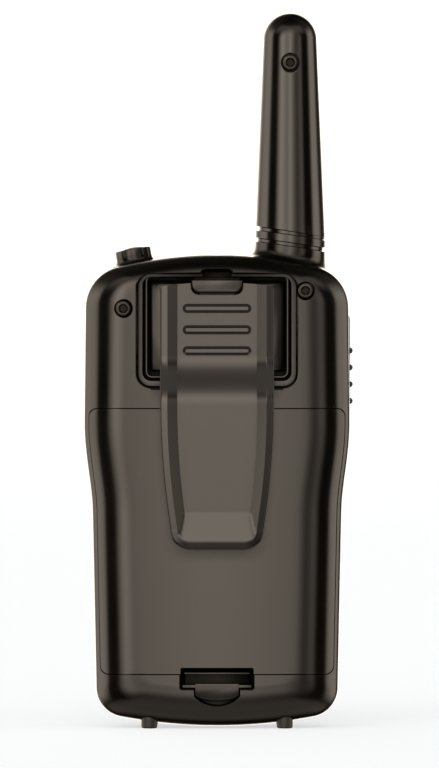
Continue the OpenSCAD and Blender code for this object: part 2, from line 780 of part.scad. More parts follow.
module torch_led() {
    color("lightyellow") torch_place() {
        translate([0, 0, -4.2]) cylinder(r = 1.3, h = 2.6, $fn = 32);
        translate([0, 0, -1.6]) sphere(r = 1.3, $fn = 32);
    }
}

/* Feet, display and front panel */

module feet() {
    color(dark_colour) for (x = [-foot_x, foot_x], y = [-foot_y, foot_y]) translate([x, y, 0]) {
        cylinder(r1 = foot_r - 0.3, r2 = foot_r, h = 0.3, $fn = 48);
        translate([0, 0, 0.29]) cylinder(r = foot_r, h = 4.6, $fn = 48);
    }
}
module display_window() {
    color([0.1, 0.12, 0.13]) along_y(front_y - 1.45, front_y - 0.15)
        rounded(-window_w / 2, window_z - window_h / 2, window_w / 2, window_z + window_h / 2, 2.5);
}
board_y = 6.6;
board_t = 1.2;
module display_module() {
    color("lightslategray") difference() {
        block([-14.4, board_y + board_t + 0.05, window_z - 9.6], [14.4, 12.6, window_z + 9.6]);
        block([-12.4, 12, window_z - 7.4], [12.4, 13, window_z + 7.4]);
    }
    color("darkseagreen") block([-12.3, 12.05, window_z - 7.3], [12.3, 12.4, window_z + 7.3]);
}
// Board corners as [x, z]: narrow beside the speaker's top, clear of the talk button, torch and antenna
board_outline = [[-25, 46.6], [25, 46.6], [25, 56], [25.4, 70], [21, 70], [21, 97], [4.5, 97], [4.5, 103],
                 [-15, 103], [-15, 92.5], [-26, 92.5], [-26, 70], [-25, 56]];
module main_board() {
    color("darkgreen") difference() {
        along_y(board_y, board_y + board_t) polygon(board_outline);
        for (x = [-21, 21]) bar_y(x, 73, 0, 20, 1.1);
    }
}
module rf_shield() { color("silver") block([-12, 3.9, 72], [12, board_y - 0.05, 94]); }
module board_chips() {
    color("black") {
        block([-8, 5, 51], [2, board_y - 0.05, 61]);
        block([8, 5.2, 56], [16, board_y - 0.05, 64]);
        block([-21, 5.2, 74], [-15, board_y - 0.05, 82]);
    }
}
module key_domes() {
    color("silver") for (p = key_places) translate([p.x, board_y + board_t + 0.05, p.y]) rotate([-90, 0, 0]) {
        cylinder(r = 2.4, h = 0.4, $fn = 40);
        cylinder(r = 1.4, h = 0.7, $fn = 40);
    }
}
module key(k) {
    p = key_places[k];
    color(dark_colour) {
        along_y(12.2, front_y + key_rise) key_shape(k);
        along_y(11.2, 12.3) key_shape(k, 0.9);
        bar_y(p.x, p.y, board_y + board_t + 1.45, 11.3, key_stem_r);
    }
}

/* Loudspeaker and microphone */

module speaker_basket() {
    color("dimgray") difference() {
        union() {
            bar_y(0, speaker_z, 12.4, 13.2, speaker_r);
            bar_y(0, speaker_z, 8, 12.5, 14);
        }
        bar_y(0, speaker_z, 9, 14, 13);
    }
}
module speaker_cone() {
    color([0.12, 0.12, 0.12]) difference() {
        translate([0, 9.2, speaker_z]) rotate([-90, 0, 0]) cylinder(r1 = 4, r2 = 12.9, h = 3.4, $fn = 64);
        translate([0, 9.8, speaker_z]) rotate([-90, 0, 0]) cylinder(r1 = 3.6, r2 = 12.7, h = 3.4, $fn = 64);
    }
}
module speaker_magnet() { color("gray") bar_y(0, speaker_z, 4.6, 7.95, 9); }
module speaker_cloth() { color("black") bar_y(0, speaker_z, 13.25, front_y - wall - 0.05, speaker_r - 0.2); }
module wire_run(points, r) {
    for (i = [0:len(points) - 2]) {
        d = points[i + 1] - points[i];
        translate(points[i]) rotate([0, acos(d.z / norm(d)), atan2(d.y, d.x)])
            cylinder(r = r, h = norm(d), $fn = 16);
    }
    for (i = [1:len(points) - 2]) translate(points[i]) sphere(r = 1.12 * r, $fn = 16);
}
module speaker_wires() {
    for (s = [-1, 1]) color(s < 0 ? "red" : "black")
        wire_run([[3 * s, 7, 37], [4 * s, 5.4, 41], [5 * s, 5.4, 46], [5 * s, 6.1, 48]], 0.45);
}
module microphone() { color("silver") bar_y(mic_x, mic_z, 10.4, 13.2, 2.2); }
module microphone_boot() {
    color("black") difference() {
        bar_y(mic_x, mic_z, 9.4, 13.5, 3);
        bar_y(mic_x, mic_z, 10.35, 14, 2.25);
    }
}

/* Cells and contacts */

// Cells stand with the button up (+1) or down (-1) in turn
module battery_cell(index, up) {
    mid_z = (tub_z0 + tub_z1) / 2 + (up > 0 ? 1.6 : -1.6);
    color("goldenrod") translate([index * cell_pitch, cell_y, mid_z]) rotate([0, up > 0 ? 0 : 180, 0])
        translate([0, 0, -cell_len / 2]) {
            cylinder(r = cell_r, h = cell_len - 1, $fn = 64);
            translate([0, 0, cell_len - 1.01]) cylinder(r = 2.6, h = 1.01, $fn = 40);
        }
}
module battery_springs() {
    height = 4;
    color("silver") for (i = [-1:1])
        translate([i * cell_pitch, cell_y, i == 0 ? tub_z1 - 0.75 : tub_z0 + 0.75])
        rotate([i == 0 ? 180 : 0, 0, 0]) coil(3, 4.4, 2.4, height - 0.7, 0.32, 14, 6);
}
module battery_plates() {
    color("silver") for (i = [-1:1], z = [tub_z0 + 0.05, tub_z1 - 0.4])
        block([i * cell_pitch - 5.5, cell_y - 5, z], [i * cell_pitch + 5.5, cell_y + 5, z + 0.35]);
}
module battery_wires() {
    for (s = [-1, 1]) color(s < 0 ? "red" : "black")
        wire_run([[24 * s, 4, 30], [24 * s, 4, 44], [22 * s, 5, 48], [20 * s, 6.05, 52]], 0.45);
}

/* Accessory jack and its cover */

module jack_socket() {
    color("black") difference() {
        union() {
            block([-27.2, jack_y - 3.1, jack_z - 3.1], [-18, board_y - 0.05, jack_z + 3.1]);
            bar_x(jack_y, jack_z, -28.9, -27.1, 2.3);
        }
        bar_x(jack_y, jack_z, -30, -19.5, 1.25);
    }
}
module jack_cover() {
    color(dark_colour) {
        along_x(-30.35, -29.3) rounded(jack_y - 3.4, jack_z - 4.9, jack_y + 3.4, jack_z + 4.9, 1.4);
    }
}

// The whole radio, with the origin under the middle of its depth from the clip to the keys
translate([0, stand_y, 0]) {
    rear_housing();
    front_housing();
    battery_door();
    battery_door_latch();
    clip_base_plate();
    clip_release_tab();
    clip_blade();
    clip_hinge_pin();
    clip_spring();
    ptt_button();
    ptt_switch();
    antenna_rear_shell();
    antenna_front_shell();
    antenna_coil();
    antenna_former();
    antenna_screw();
    torch_bezel();
    torch_lens();
    torch_reflector();
    torch_led();
    case_screws();
    feet();
    display_window();
    display_module();
    main_board();
    rf_shield();
    board_chips();
    key_domes();
    key(0);  // key_power
    key(1);  // key_call
    key(2);  // key_menu
    key(3);  // key_up
    key(4);  // key_down
    speaker_basket();
    speaker_cone();
    speaker_magnet();
    speaker_cloth();
    speaker_wires();
    microphone();
    microphone_boot();
    battery_cell(-1, 1);  // battery_cell_left
    battery_cell(0, -1);  // battery_cell_middle
    battery_cell(1, 1);  // battery_cell_right
    battery_springs();
    battery_plates();
    battery_wires();
    jack_socket();
    jack_cover();
}
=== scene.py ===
import json
import math
import bpy
from mathutils import Matrix, Vector
from mathutils.bvhtree import BVHTree
from mathutils.interpolate import poly_3d_calc


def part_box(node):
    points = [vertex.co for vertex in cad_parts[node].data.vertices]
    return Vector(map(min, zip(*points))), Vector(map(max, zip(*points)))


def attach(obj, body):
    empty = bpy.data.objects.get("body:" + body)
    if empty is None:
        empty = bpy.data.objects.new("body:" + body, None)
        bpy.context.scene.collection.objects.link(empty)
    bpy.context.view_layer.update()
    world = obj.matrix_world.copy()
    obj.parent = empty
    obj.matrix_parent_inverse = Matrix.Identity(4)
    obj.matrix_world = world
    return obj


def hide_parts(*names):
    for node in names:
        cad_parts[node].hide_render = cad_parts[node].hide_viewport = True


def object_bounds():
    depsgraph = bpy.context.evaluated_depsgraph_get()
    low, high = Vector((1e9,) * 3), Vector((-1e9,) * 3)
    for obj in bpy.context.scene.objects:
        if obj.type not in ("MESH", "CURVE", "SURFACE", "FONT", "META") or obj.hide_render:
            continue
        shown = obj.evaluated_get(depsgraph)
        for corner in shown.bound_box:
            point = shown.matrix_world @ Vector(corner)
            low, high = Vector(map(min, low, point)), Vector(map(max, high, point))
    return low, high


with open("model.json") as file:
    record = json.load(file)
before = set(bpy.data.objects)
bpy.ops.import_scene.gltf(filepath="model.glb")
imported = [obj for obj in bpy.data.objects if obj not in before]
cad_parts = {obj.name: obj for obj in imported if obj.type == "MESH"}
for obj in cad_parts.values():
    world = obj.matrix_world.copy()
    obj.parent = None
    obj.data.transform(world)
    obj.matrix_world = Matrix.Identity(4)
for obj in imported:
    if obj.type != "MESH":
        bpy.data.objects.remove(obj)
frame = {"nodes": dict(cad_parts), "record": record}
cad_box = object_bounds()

MM = 0.001

feet_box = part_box("feet")
# The middle of the case in the row's frame: pieces are built round it, in millimetres
MIDDLE = Vector(((feet_box[0].x + feet_box[1].x) / 2, (feet_box[0].y + feet_box[1].y) / 2, 0))


def box_mm(node):
    """Lowest and highest corner of a CAD node, in millimetres from the middle of the case."""
    low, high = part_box(node)
    return (low - MIDDLE) / MM, (high - MIDDLE) / MM


rear_low = box_mm("rear_housing")[0]
front_high = box_mm("front_housing")[1]
door_low = box_mm("battery_door")[0]
clip_low, clip_high = box_mm("clip_blade")
plate_low, plate_high = box_mm("clip_base_plate")
tab_low, tab_high = box_mm("clip_release_tab")
ptt_low, ptt_high = box_mm("ptt_button")
sheath_low, sheath_high = box_mm("antenna_rear_shell")
latch_low, latch_high = box_mm("battery_door_latch")
window_low, window_high = box_mm("display_window")
feet_low, feet_high = box_mm("feet")

# ---------------------------------------------------------------- case outline
REAR_Y = rear_low.y
FRONT_Y = front_high.y
BODY_TOP = 108.9
BELLY = rear_low.z
WALL = 1.9
BASE_W, GRIP_W, BODY_W = 55.6, 57.3, 61.04
WAIST_Z0, WAIST_Z1 = 50, 71             # the case widens between these heights
BODY_TAPER = 0.023
CORNER_LOW_Z, CORNER_HIGH_Z = 10, 97    # heights at which the corners' widths are taken
BASE_ARC_R, TOP_ARC_R = 115, 92         # the bottom and the top are shallow arcs
TOP_CORNER_R, BASE_CORNER_R = 9.7, 6.9
EDGE_R = 4                              # both corners on the flat face
ROUND = {"side": 10.0, "top": 5.5, "base": 9.0, "depth": 7.5}
FRONT_ROUND = {"side": 6.0, "top": 6.0, "base": 6.0, "depth": 5.0}
CROWN_R = 300.0
CROWN_BLEND = 5.0                       # depth over which the crown fades in


def mix(a, b, t):
    return a + (b - a) * t


def smooth(t):
    t = min(1.0, max(0.0, t))
    return t * t * (3 - 2 * t)


def half_width(z):
    low = mix(BASE_W, GRIP_W, (z - CORNER_LOW_Z) / (WAIST_Z0 - CORNER_LOW_Z)) / 2
    high = (BODY_W - BODY_TAPER * (z - WAIST_Z1)) / 2
    return mix(low, high, smooth((z - WAIST_Z0) / (WAIST_Z1 - WAIST_Z0)))


def half_outline(side=0.0, top=0.0, base=0.0, top_r=TOP_CORNER_R, base_r=BASE_CORNER_R, fine=1.0):
    """Half of the case's outline from the bottom centre to the top centre, moved inwards."""
    counts = [max(2, round(n * fine)) for n in (10, 12, 60, 16, 14)]
    low_x = half_width(CORNER_LOW_Z) - side - base_r
    low_a = math.asin(low_x / BASE_ARC_R)
    low_end = low_x + base_r * math.sin(low_a)
    low_z = BELLY + base + low_end ** 2 / (2 * BASE_ARC_R) + base_r * math.cos(low_a)
    high_x = half_width(CORNER_HIGH_Z) - side - top_r
    high_a = math.asin(high_x / TOP_ARC_R)
    high_end = high_x + top_r * math.sin(high_a)
    high_z = BODY_TOP - top - high_end ** 2 / (2 * TOP_ARC_R) - top_r * math.cos(high_a)
    pts = []
    for i in range(counts[0]):
        x = low_end * i / counts[0]
        pts.append((x, BELLY + base + x ** 2 / (2 * BASE_ARC_R)))
    for i in range(counts[1]):
        a = mix(low_a - math.pi / 2, 0, i / counts[1])
        pts.append((low_x + base_r * math.cos(a), low_z + base_r * math.sin(a)))
    for i in range(counts[2] + 1):
        z = mix(low_z, high_z, i / counts[2])
        x = half_width(z) - side
        fix = half_width(CORNER_LOW_Z) - half_width(low_z)
        pts.append((x + fix * (1 - smooth(i / 8)), z))
    for i in range(1, counts[3] + 1):
        a = mix(0, math.pi / 2 - high_a, i / counts[3])
        pts.append((high_x + top_r * math.cos(a), high_z + top_r * math.sin(a)))
    for i in range(1, counts[4] + 1):
        x = high_end * (1 - i / counts[4])
        pts.append((x, BODY_TOP - top - x * x / (2 * TOP_ARC_R)))
    return pts


def outline(**insets):
    """The whole outline, anticlockwise as seen from the back."""
    half = half_outline(**insets)
    return half + [(-x, z) for x, z in reversed(half[1:-1])]


def edge_loop(k, way):
    return outline(side=way["side"] * k, top=way["top"] * k, base=way["base"] * k,
                   top_r=mix(TOP_CORNER_R, EDGE_R, k), base_r=mix(BASE_CORNER_R, EDGE_R, k))


def case_rings(rear):
    """Rings of (x, y, z) from the parting plane to the middle of the flat face."""
    way = ROUND if rear else FRONT_ROUND
    face = REAR_Y if rear else FRONT_Y
    sign = -1 if rear else 1
    start = face - sign * way["depth"]
    rings = [[(x, 0.0, z) for x, z in outline(side=0.16, top=0.16, base=0.16)],
             [(x, sign * 0.22, z) for x, z in outline()]]
    rings.append([(x, mix(0, start, 0.5), z) for x, z in outline()])
    steps = 20
    for i in range(steps + 1):
        a = math.pi / 2 * i / steps
        rings.append([(x, start + sign * way["depth"] * math.sin(a), z)
                      for x, z in edge_loop(1 - math.cos(a), way)])
    flat = rings[-1]
    for i in range(11, -1, -1):
        rings.append([(x * i / 12, y, z) for x, y, z in flat])
    return rings


def crowned(p):
    """The back is slightly crowned across its width."""
    w = smooth((REAR_Y + ROUND["depth"] - p[1]) / CROWN_BLEND) if p[1] < 0 else 0.0
    return (p[0], p[1] + w * p[0] ** 2 / (2 * CROWN_R), p[2])


# ---------------------------------------------------------------- mesh helpers
def make(name, verts, faces):
    """A new mesh object in millimetres; finish_piece() brings it to metres."""
    mesh = bpy.data.meshes.new(name)
    mesh.from_pydata([tuple(v) for v in verts], [], faces)
    mesh.update()
    ob = bpy.data.objects.new(name, mesh)
    bpy.context.scene.collection.objects.link(ob)
    return ob


def tidy(ob, dist=1e-4):
    import bmesh
    bm = bmesh.new()
    bm.from_mesh(ob.data)
    bmesh.ops.remove_doubles(bm, verts=bm.verts, dist=dist)
    bmesh.ops.dissolve_degenerate(bm, edges=bm.edges, dist=dist)
    bmesh.ops.recalc_face_normals(bm, faces=bm.faces)
    bm.to_mesh(ob.data)
    bm.free()
    return ob


def loft(name, rings, caps=(True, True), closed=True):
    """A skin through rings of points that all have the same length."""
    n = len(rings[0])
    verts = [p for r in rings for p in r]
    faces = []
    for j in range(len(rings) - 1):
        for i in range(n if closed else n - 1):
            k = (i + 1) % n
            faces.append((j * n + i, j * n + k, (j + 1) * n + k, (j + 1) * n + i))
    if caps[0]:
        faces.append(tuple(range(n - 1, -1, -1)))
    if caps[1]:
        faces.append(tuple(range((len(rings) - 1) * n, len(rings) * n)))
    return tidy(make(name, verts, faces))


def rr(x0, z0, x1, z1, r, grow=0.0, n=8):
    """A rounded rectangle as a loop of points, grown outwards."""
    x0, z0, x1, z1, r = x0 - grow, z0 - grow, x1 + grow, z1 + grow, max(0.05, r + grow)
    pts = []
    for cx, cz, start in ((x1 - r, z0 + r, -90), (x1 - r, z1 - r, 0), (x0 + r, z1 - r, 90),
            (x0 + r, z0 + r, 180)):
        for i in range(n + 1):
            a = math.radians(start + 90 * i / n)
            pts.append((cx + r * math.cos(a), cz + r * math.sin(a)))
    return pts


def circle(x, z, r, n=64):
    return [(x + r * math.cos(2 * math.pi * i / n), z + r * math.sin(2 * math.pi * i / n)) for i in range(n)]


def stack_y(name, loops):
    """A solid through (loop, y) pairs."""
    return loft(name, [[(x, y, z) for x, z in loop] for loop, y in loops])


def stack_x(name, loops):
    """A solid through (loop of (y, z), x) pairs."""
    return loft(name, [[(x, y, z) for y, z in loop] for loop, x in loops])


def block(x0, y0, z0, x1, y1, z1, name="block"):
    return stack_y(name, [([(x0, z0), (x1, z0), (x1, z1), (x0, z1)], y0),
            ([(x0, z0), (x1, z0), (x1, z1), (x0, z1)], y1)])


def pit(shape, floor, face, lip=0.3, foot=0.25, out=-1):
    """A cutter with a rounded lip at the face and a fillet at its floor. shape(grow) gives the loop."""
    loops = []
    for i in range(5):
        a = math.pi / 2 * i / 4
        loops.append((shape(-foot * (1 - math.sin(a))), floor + out * foot * (1 - math.cos(a))))
    for i in range(6):
        a = math.pi / 2 * i / 5
        loops.append((shape(lip * (1 - math.cos(a))), face - out * lip * (1 - math.sin(a))))
    loops.append((shape(lip * 1.6), face + out * 6))
    return stack_y("pit", loops)


def combine(ob, others, op="DIFFERENCE", solver="EXACT"):
    """Booleans, applied at once; the cutters are removed."""
    for other in others:
        mod = ob.modifiers.new("b", "BOOLEAN")
        mod.object = other
        mod.operation = op
        mod.solver = solver
    graph = bpy.context.evaluated_depsgraph_get()
    mesh = bpy.data.meshes.new_from_object(ob.evaluated_get(graph))
    ob.modifiers.clear()
    ob.data = mesh
    for other in others:
        bpy.data.objects.remove(other, do_unlink=True)
    return ob


def bevelled(ob, width=0.2, segments=3, angle=30):
    mod = ob.modifiers.new("bevel", "BEVEL")
    mod.width = width
    mod.segments = segments
    mod.limit_method = "ANGLE"
    mod.angle_limit = math.radians(angle)
    mod.use_clamp_overlap = True
    graph = bpy.context.evaluated_depsgraph_get()
    mesh = bpy.data.meshes.new_from_object(ob.evaluated_get(graph))
    ob.modifiers.clear()
    ob.data = mesh
    return ob


class Skin:
    """A smooth surface whose normals a cut piece takes over."""

    def __init__(self, rings, shape=lambda p: p):
        ob = loft("skin", [[shape(p) for p in r] for r in rings], caps=(False, False))
        self.verts = [v.co.copy() for v in ob.data.vertices]
        self.polys = [tuple(p.vertices) for p in ob.data.polygons]
        self.normals = [v.normal.copy() for v in ob.data.vertices]
        self.tree = BVHTree.FromPolygons(self.verts, self.polys)
        bpy.data.objects.remove(ob, do_unlink=True)

    def normal(self, co, face_normal=None, limit=0.02):
        loc, _, index, dist = self.tree.find_nearest(co)
        if index is None or dist > limit:
            return None
        ids = self.polys[index]
        weights = poly_3d_calc([self.verts[i] for i in ids], loc)
        out = Vector((0, 0, 0))
        for w, i in zip(weights, ids):
            out += w * self.normals[i]
        if out.length < 1e-6:
            return None
        out.normalize()
        if face_normal is not None:
            if out.dot(face_normal) < 0:
                out.negate()
            if out.dot(face_normal) < 0.94:
                return None
        return out


def finish_piece(ob, body, mat, nodes=(), skins=(), angle=32, shape=None):
    """Brings a piece to metres, shades it, and puts it on its body."""
    mesh = ob.data
    if shape:
        for v in mesh.vertices:
            v.co = shape(v.co)
    mesh.polygons.foreach_set("use_smooth", [True] * len(mesh.polygons))
    mesh.set_sharp_from_angle(angle=math.radians(angle))
    mesh.update()
    if skins:
        normals = [n.vector.copy() for n in mesh.corner_normals]
        for poly in mesh.polygons:
            for skin in skins:
                if skin.normal(poly.center, poly.normal) is None:
                    continue
                for li in poly.loop_indices:
                    n = skin.normal(mesh.vertices[mesh.loops[li].vertex_index].co, poly.normal, 0.05)
                    if n is not None:
                        normals[li] = n
                break
        mesh.normals_split_custom_set(normals)
    for v in mesh.vertices:
        v.co = v.co * MM + MIDDLE
    mesh.update()
    mesh.materials.clear()
    mesh.materials.append(mat)
    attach(ob, body)
    if nodes:
        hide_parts(*nodes)
    return ob


# ---------------------------------------------------------------- materials
def node_material(name):
    mat = bpy.data.materials.new(name)
    mat.use_nodes = True
    tree = mat.node_tree
    shader = tree.nodes["Principled BSDF"]
    return mat, tree, shader


def add(tree, kind, **values):
    n = tree.nodes.new(kind)
    for key, value in values.items():
        if key in n.inputs:
            n.inputs[key].default_value = value
        else:
            setattr(n, key.lower(), value)
    return n


SPECULAR = 0.5
GRAIN_DEPTH = 0.00004
SHADE_POWER = 2.2


def textured(name, dark, light, rough=(0.3, 0.4), grain=9000.0, bump=0.08, metallic=0.0, cloud=60.0, edge=0.0,
             transmission=0.0, coat=0.0, stretch=(1, 1, 1), hollow=0.0):
    """Colour that drifts between two tones, roughness that drifts with it, fine grain, worn edges, and
    painted shade in recesses.
    """
    mat, tree, shader = node_material(name)
    link = tree.links.new
    where = add(tree, "ShaderNodeTexCoord")
    space = add(tree, "ShaderNodeMapping")
    space.inputs["Scale"].default_value = stretch
    link(where.outputs["Object"], space.inputs["Vector"])
    big = add(tree, "ShaderNodeTexNoise", Scale=cloud, Detail=4.0, Roughness=0.55)
    fine = add(tree, "ShaderNodeTexNoise", Scale=grain, Detail=2.0, Roughness=0.6)
    for n in (big, fine):
        link(space.outputs["Vector"], n.inputs["Vector"])
    ramp = add(tree, "ShaderNodeValToRGB")
    ramp.color_ramp.elements[0].position = 0.32
    ramp.color_ramp.elements[0].color = (*dark, 1)
    ramp.color_ramp.elements[1].position = 0.7
    ramp.color_ramp.elements[1].color = (*light, 1)
    link(big.outputs["Fac"], ramp.inputs["Fac"])
    colour = ramp.outputs["Color"]
    if edge:
        geo = add(tree, "ShaderNodeNewGeometry")
        wear = add(tree, "ShaderNodeMapRange")
        wear.inputs["From Min"].default_value = 0.52
        wear.inputs["From Max"].default_value = 0.62
        wear.inputs["To Max"].default_value = edge
        link(geo.outputs["Pointiness"], wear.inputs["Value"])
        blend = add(tree, "ShaderNodeMix", data_type="RGBA")
        link(wear.outputs["Result"], blend.inputs["Factor"])
        link(colour, blend.inputs["A"])
        blend.inputs["B"].default_value = (*[min(1, c * 2.2 + 0.01) for c in light], 1)
        colour = blend.outputs["Result"]
    if hollow:
        # Painted shade: recesses get a darker base colour and weaker reflections, from ambient occlusion over
        # this depth
        shade = tree.nodes.new("ShaderNodeAmbientOcclusion")
        shade.samples = 8
        shade.inputs["Distance"].default_value = hollow
        painted_recess_shade = tree.nodes.new("ShaderNodeMath")
        painted_recess_shade.operation = "POWER"
        painted_recess_shade.inputs[1].default_value = SHADE_POWER
        link(shade.outputs["AO"], painted_recess_shade.inputs[0])
        # Reflections are dimmed in recesses too: painted shade on the specular
        shaded_specular = tree.nodes.new("ShaderNodeMath")
        shaded_specular.operation = "MULTIPLY"
        shaded_specular.inputs[1].default_value = SPECULAR
        link(painted_recess_shade.outputs["Value"], shaded_specular.inputs[0])
        link(shaded_specular.outputs["Value"], shader.inputs["Specular IOR Level"])
        # A darker copy of the colour is painted into recesses as shade
        blend = add(tree, "ShaderNodeMix", data_type="RGBA")
        link(painted_recess_shade.outputs["Value"], blend.inputs["Factor"])
        blend.inputs["A"].default_value = (*[c * 0.3 for c in dark], 1)
        link(colour, blend.inputs["B"])
        colour = blend.outputs["Result"]
    link(colour, shader.inputs["Base Color"])
    drift = add(tree, "ShaderNodeMapRange")
    drift.inputs["To Min"].default_value = rough[0]
    drift.inputs["To Max"].default_value = rough[1]
    link(big.outputs["Fac"], drift.inputs["Value"])
    link(drift.outputs["Result"], shader.inputs["Roughness"])
    relief = add(tree, "ShaderNodeBump", Strength=bump, Distance=GRAIN_DEPTH)
    link(fine.outputs["Fac"], relief.inputs["Height"])
    link(relief.outputs["Normal"], shader.inputs["Normal"])
    shader.inputs["Metallic"].default_value = metallic
    shader.inputs["Transmission Weight"].default_value = transmission
    shader.inputs["Coat Weight"].default_value = coat
    return mat


# hollow= sets the depth over which painted shade darkens recesses
case_mat = textured("case_plastic", (0.0022, 0.002, 0.0018), (0.0036, 0.0033, 0.0029), rough=(0.14, 0.18),
                    bump=0.1, edge=0.3, hollow=0.005)
blade_mat = textured("clip_plastic", (0.0024, 0.0022, 0.002), (0.004, 0.0036, 0.0032), rough=(0.14, 0.18),
                     bump=0.08, edge=0.3, hollow=0.003)
sheath_mat = textured("antenna_plastic", (0.0022, 0.002, 0.0018), (0.0036, 0.0033, 0.0029),
                      rough=(0.14, 0.18), bump=0.1, edge=0.3)
rubber_mat = textured("soft_rubber", (0.006, 0.0056, 0.005), (0.01, 0.0092, 0.0084), rough=(0.45, 0.58),
                      grain=6000, bump=0.25, edge=0.2)
key_mat = textured("key_rubber", (0.012, 0.0115, 0.011), (0.018, 0.0172, 0.0165), rough=(0.42, 0.52),
                   grain=7000, bump=0.18, edge=0.3)
steel_mat = textured("spring_steel", (0.42, 0.41, 0.4), (0.6, 0.59, 0.57), rough=(0.2, 0.32), metallic=1,
                     grain=3000, bump=0.06, stretch=(1, 1, 12))
# hollow= sets the depth over which painted shade darkens the screw recesses
screw_mat = textured("black_steel", (0.02, 0.019, 0.017), (0.03, 0.028, 0.026), rough=(0.22, 0.3),
                     metallic=1, grain=5000, bump=0.12, edge=0.3, hollow=0.004)
copper_mat = textured("copper_wire", (0.45, 0.17, 0.06), (0.65, 0.28, 0.1), rough=(0.18, 0.28), metallic=1,
                      bump=0.04, coat=0.5)
former_mat = textured("coil_former", (0.62, 0.6, 0.55), (0.74, 0.72, 0.67), rough=(0.4, 0.5), bump=0.1)
chrome_mat = textured("plated_reflector", (0.7, 0.7, 0.71), (0.82, 0.82, 0.83), rough=(0.04, 0.1),
                      metallic=1, bump=0.03)
led_mat = textured("led_epoxy", (0.75, 0.68, 0.3), (0.9, 0.85, 0.5), rough=(0.1, 0.16), bump=0.02, coat=0.6)
lens_mat = textured("smoked_lens", (0.05, 0.052, 0.055), (0.08, 0.082, 0.086), rough=(0.05, 0.09),
                    bump=0.01, transmission=0.9)
window_mat = textured("display_cover", (0.006, 0.0065, 0.007), (0.009, 0.01, 0.011), rough=(0.05, 0.1),
                      bump=0.015, coat=0.6)
display_mat = textured("display_panel", (0.2, 0.26, 0.19), (0.27, 0.33, 0.25), rough=(0.25, 0.35), bump=0.03)
board_mat = textured("solder_mask", (0.01, 0.09, 0.035), (0.02, 0.14, 0.06), rough=(0.28, 0.4), cloud=400,
                     bump=0.08)
chip_mat = textured("moulded_epoxy", (0.012, 0.012, 0.013), (0.02, 0.02, 0.021), rough=(0.5, 0.62), bump=0.2)
magnet_mat = textured("plated_magnet", (0.2, 0.2, 0.21), (0.34, 0.34, 0.35), rough=(0.25, 0.38),
                      metallic=1, bump=0.08)
cone_mat = textured("speaker_paper", (0.014, 0.014, 0.015), (0.024, 0.024, 0.025), rough=(0.7, 0.82),
                    grain=2500, bump=0.4)
cloth_mat = textured("speaker_cloth", (0.006, 0.006, 0.006), (0.014, 0.014, 0.014), rough=(0.8, 0.92),
                     grain=2200, bump=0.6)
cell_mat = textured("cell_sleeve", (0.4, 0.3, 0.08), (0.5, 0.39, 0.12), rough=(0.22, 0.3), bump=0.05,
                    coat=0.4)
wire_mat = textured("wire_sleeve", (0.22, 0.02, 0.015), (0.32, 0.035, 0.025), rough=(0.38, 0.5), bump=0.08)

# ---------------------------------------------------------------- case
rear_rings = case_rings(True)
front_rings = case_rings(False)
rear_skin = Skin(rear_rings, crowned)
front_skin = Skin(front_rings)

POCKET_HALF, POCKET_Z0, POCKET_Z1 = 18.4, 78.2, 104.0
POCKET_FLOOR = REAR_Y + 5.5
TOE_X = 10                              # the plate's two toes
LEDGE_Y = REAR_Y + 1.25                 # the shallow ledge round the pocket
FENCE_Y = REAR_Y + 1.7                  # top of the thin wall inside it
DOOR_Z0, DOOR_Z1 = door_low.z - 0.2, 73.6
LATCH_HALF, LATCH_Z0, LATCH_Z1 = 8.4, 9.15, 14.1
HOOK_X = 12                             # the door's two hooks
COUNTERBORE_R, SCREW_CLEAR_R, SCREW_CORE_R = 2.1, 1.2, 1.15
FOOT_R = 1.85
DOOR_MARGIN = 1.0
DOOR_T = 1.9
DOOR_EDGE_Y = -11.2
TUB = (-22.0, 14.2, 22.0, 71.8)
SCREWS = [(-21.5, 96.4, -12.9), (20.3, 100.5, -12.9), (-24.6, 18.0, -9.2), (24.6, 18.0, -9.2)]
ANTENNA_X = (sheath_low.x + sheath_high.x) / 2
SHEATH_R = (sheath_high.x - sheath_low.x) / 2


def door_loop(gap, n=40, r=1.9):
    """The door's area: its sides follow the case's outline."""
    z0, z1 = DOOR_Z0 + gap, DOOR_Z1 - gap
    right = []
    for i in range(9):
        a = math.radians(-90 + 90 * i / 8)
        z = z0 + r + r * math.sin(a)
        right.append((half_width(z0 + r) - DOOR_MARGIN - gap - r + r * math.cos(a), z))
    for i in range(1, n):
        z = mix(z0 + r, z1 - r, i / n)
        right.append((half_width(z) - DOOR_MARGIN - gap, z))
    for i in range(9):
        a = math.radians(90 * i / 8)
        z = z1 - r + r * math.sin(a)
        right.append((half_width(z1 - r) - DOOR_MARGIN - gap - r + r * math.cos(a), z))
    return right + [(-x, z) for x, z in reversed(right)]


def door_seat(gap):
    """The shelf under the door, moved out by gap."""
    y = REAR_Y + DOOR_T + 0.2 - gap
    edge = DOOR_EDGE_Y + 0.2 - gap
    rings = []
    for i in range(25):
        z = mix(DOOR_Z0 - 4, DOOR_Z1 + 4, i / 24)
        w = half_width(z)
        right = [(w - 8.5, y), (w - 6.5, y + 0.35), (w - 4.5, y + 1.1), (w - 2.4, y + 1.95),
                 (w - 0.4, max(edge, y + 1.96)), (w - 0.4, 0.0)]
        rings.append([(x, yy, z) for x, yy in right] + [(-x, yy, z) for x, yy in reversed(right)])
    return loft("seat", rings)


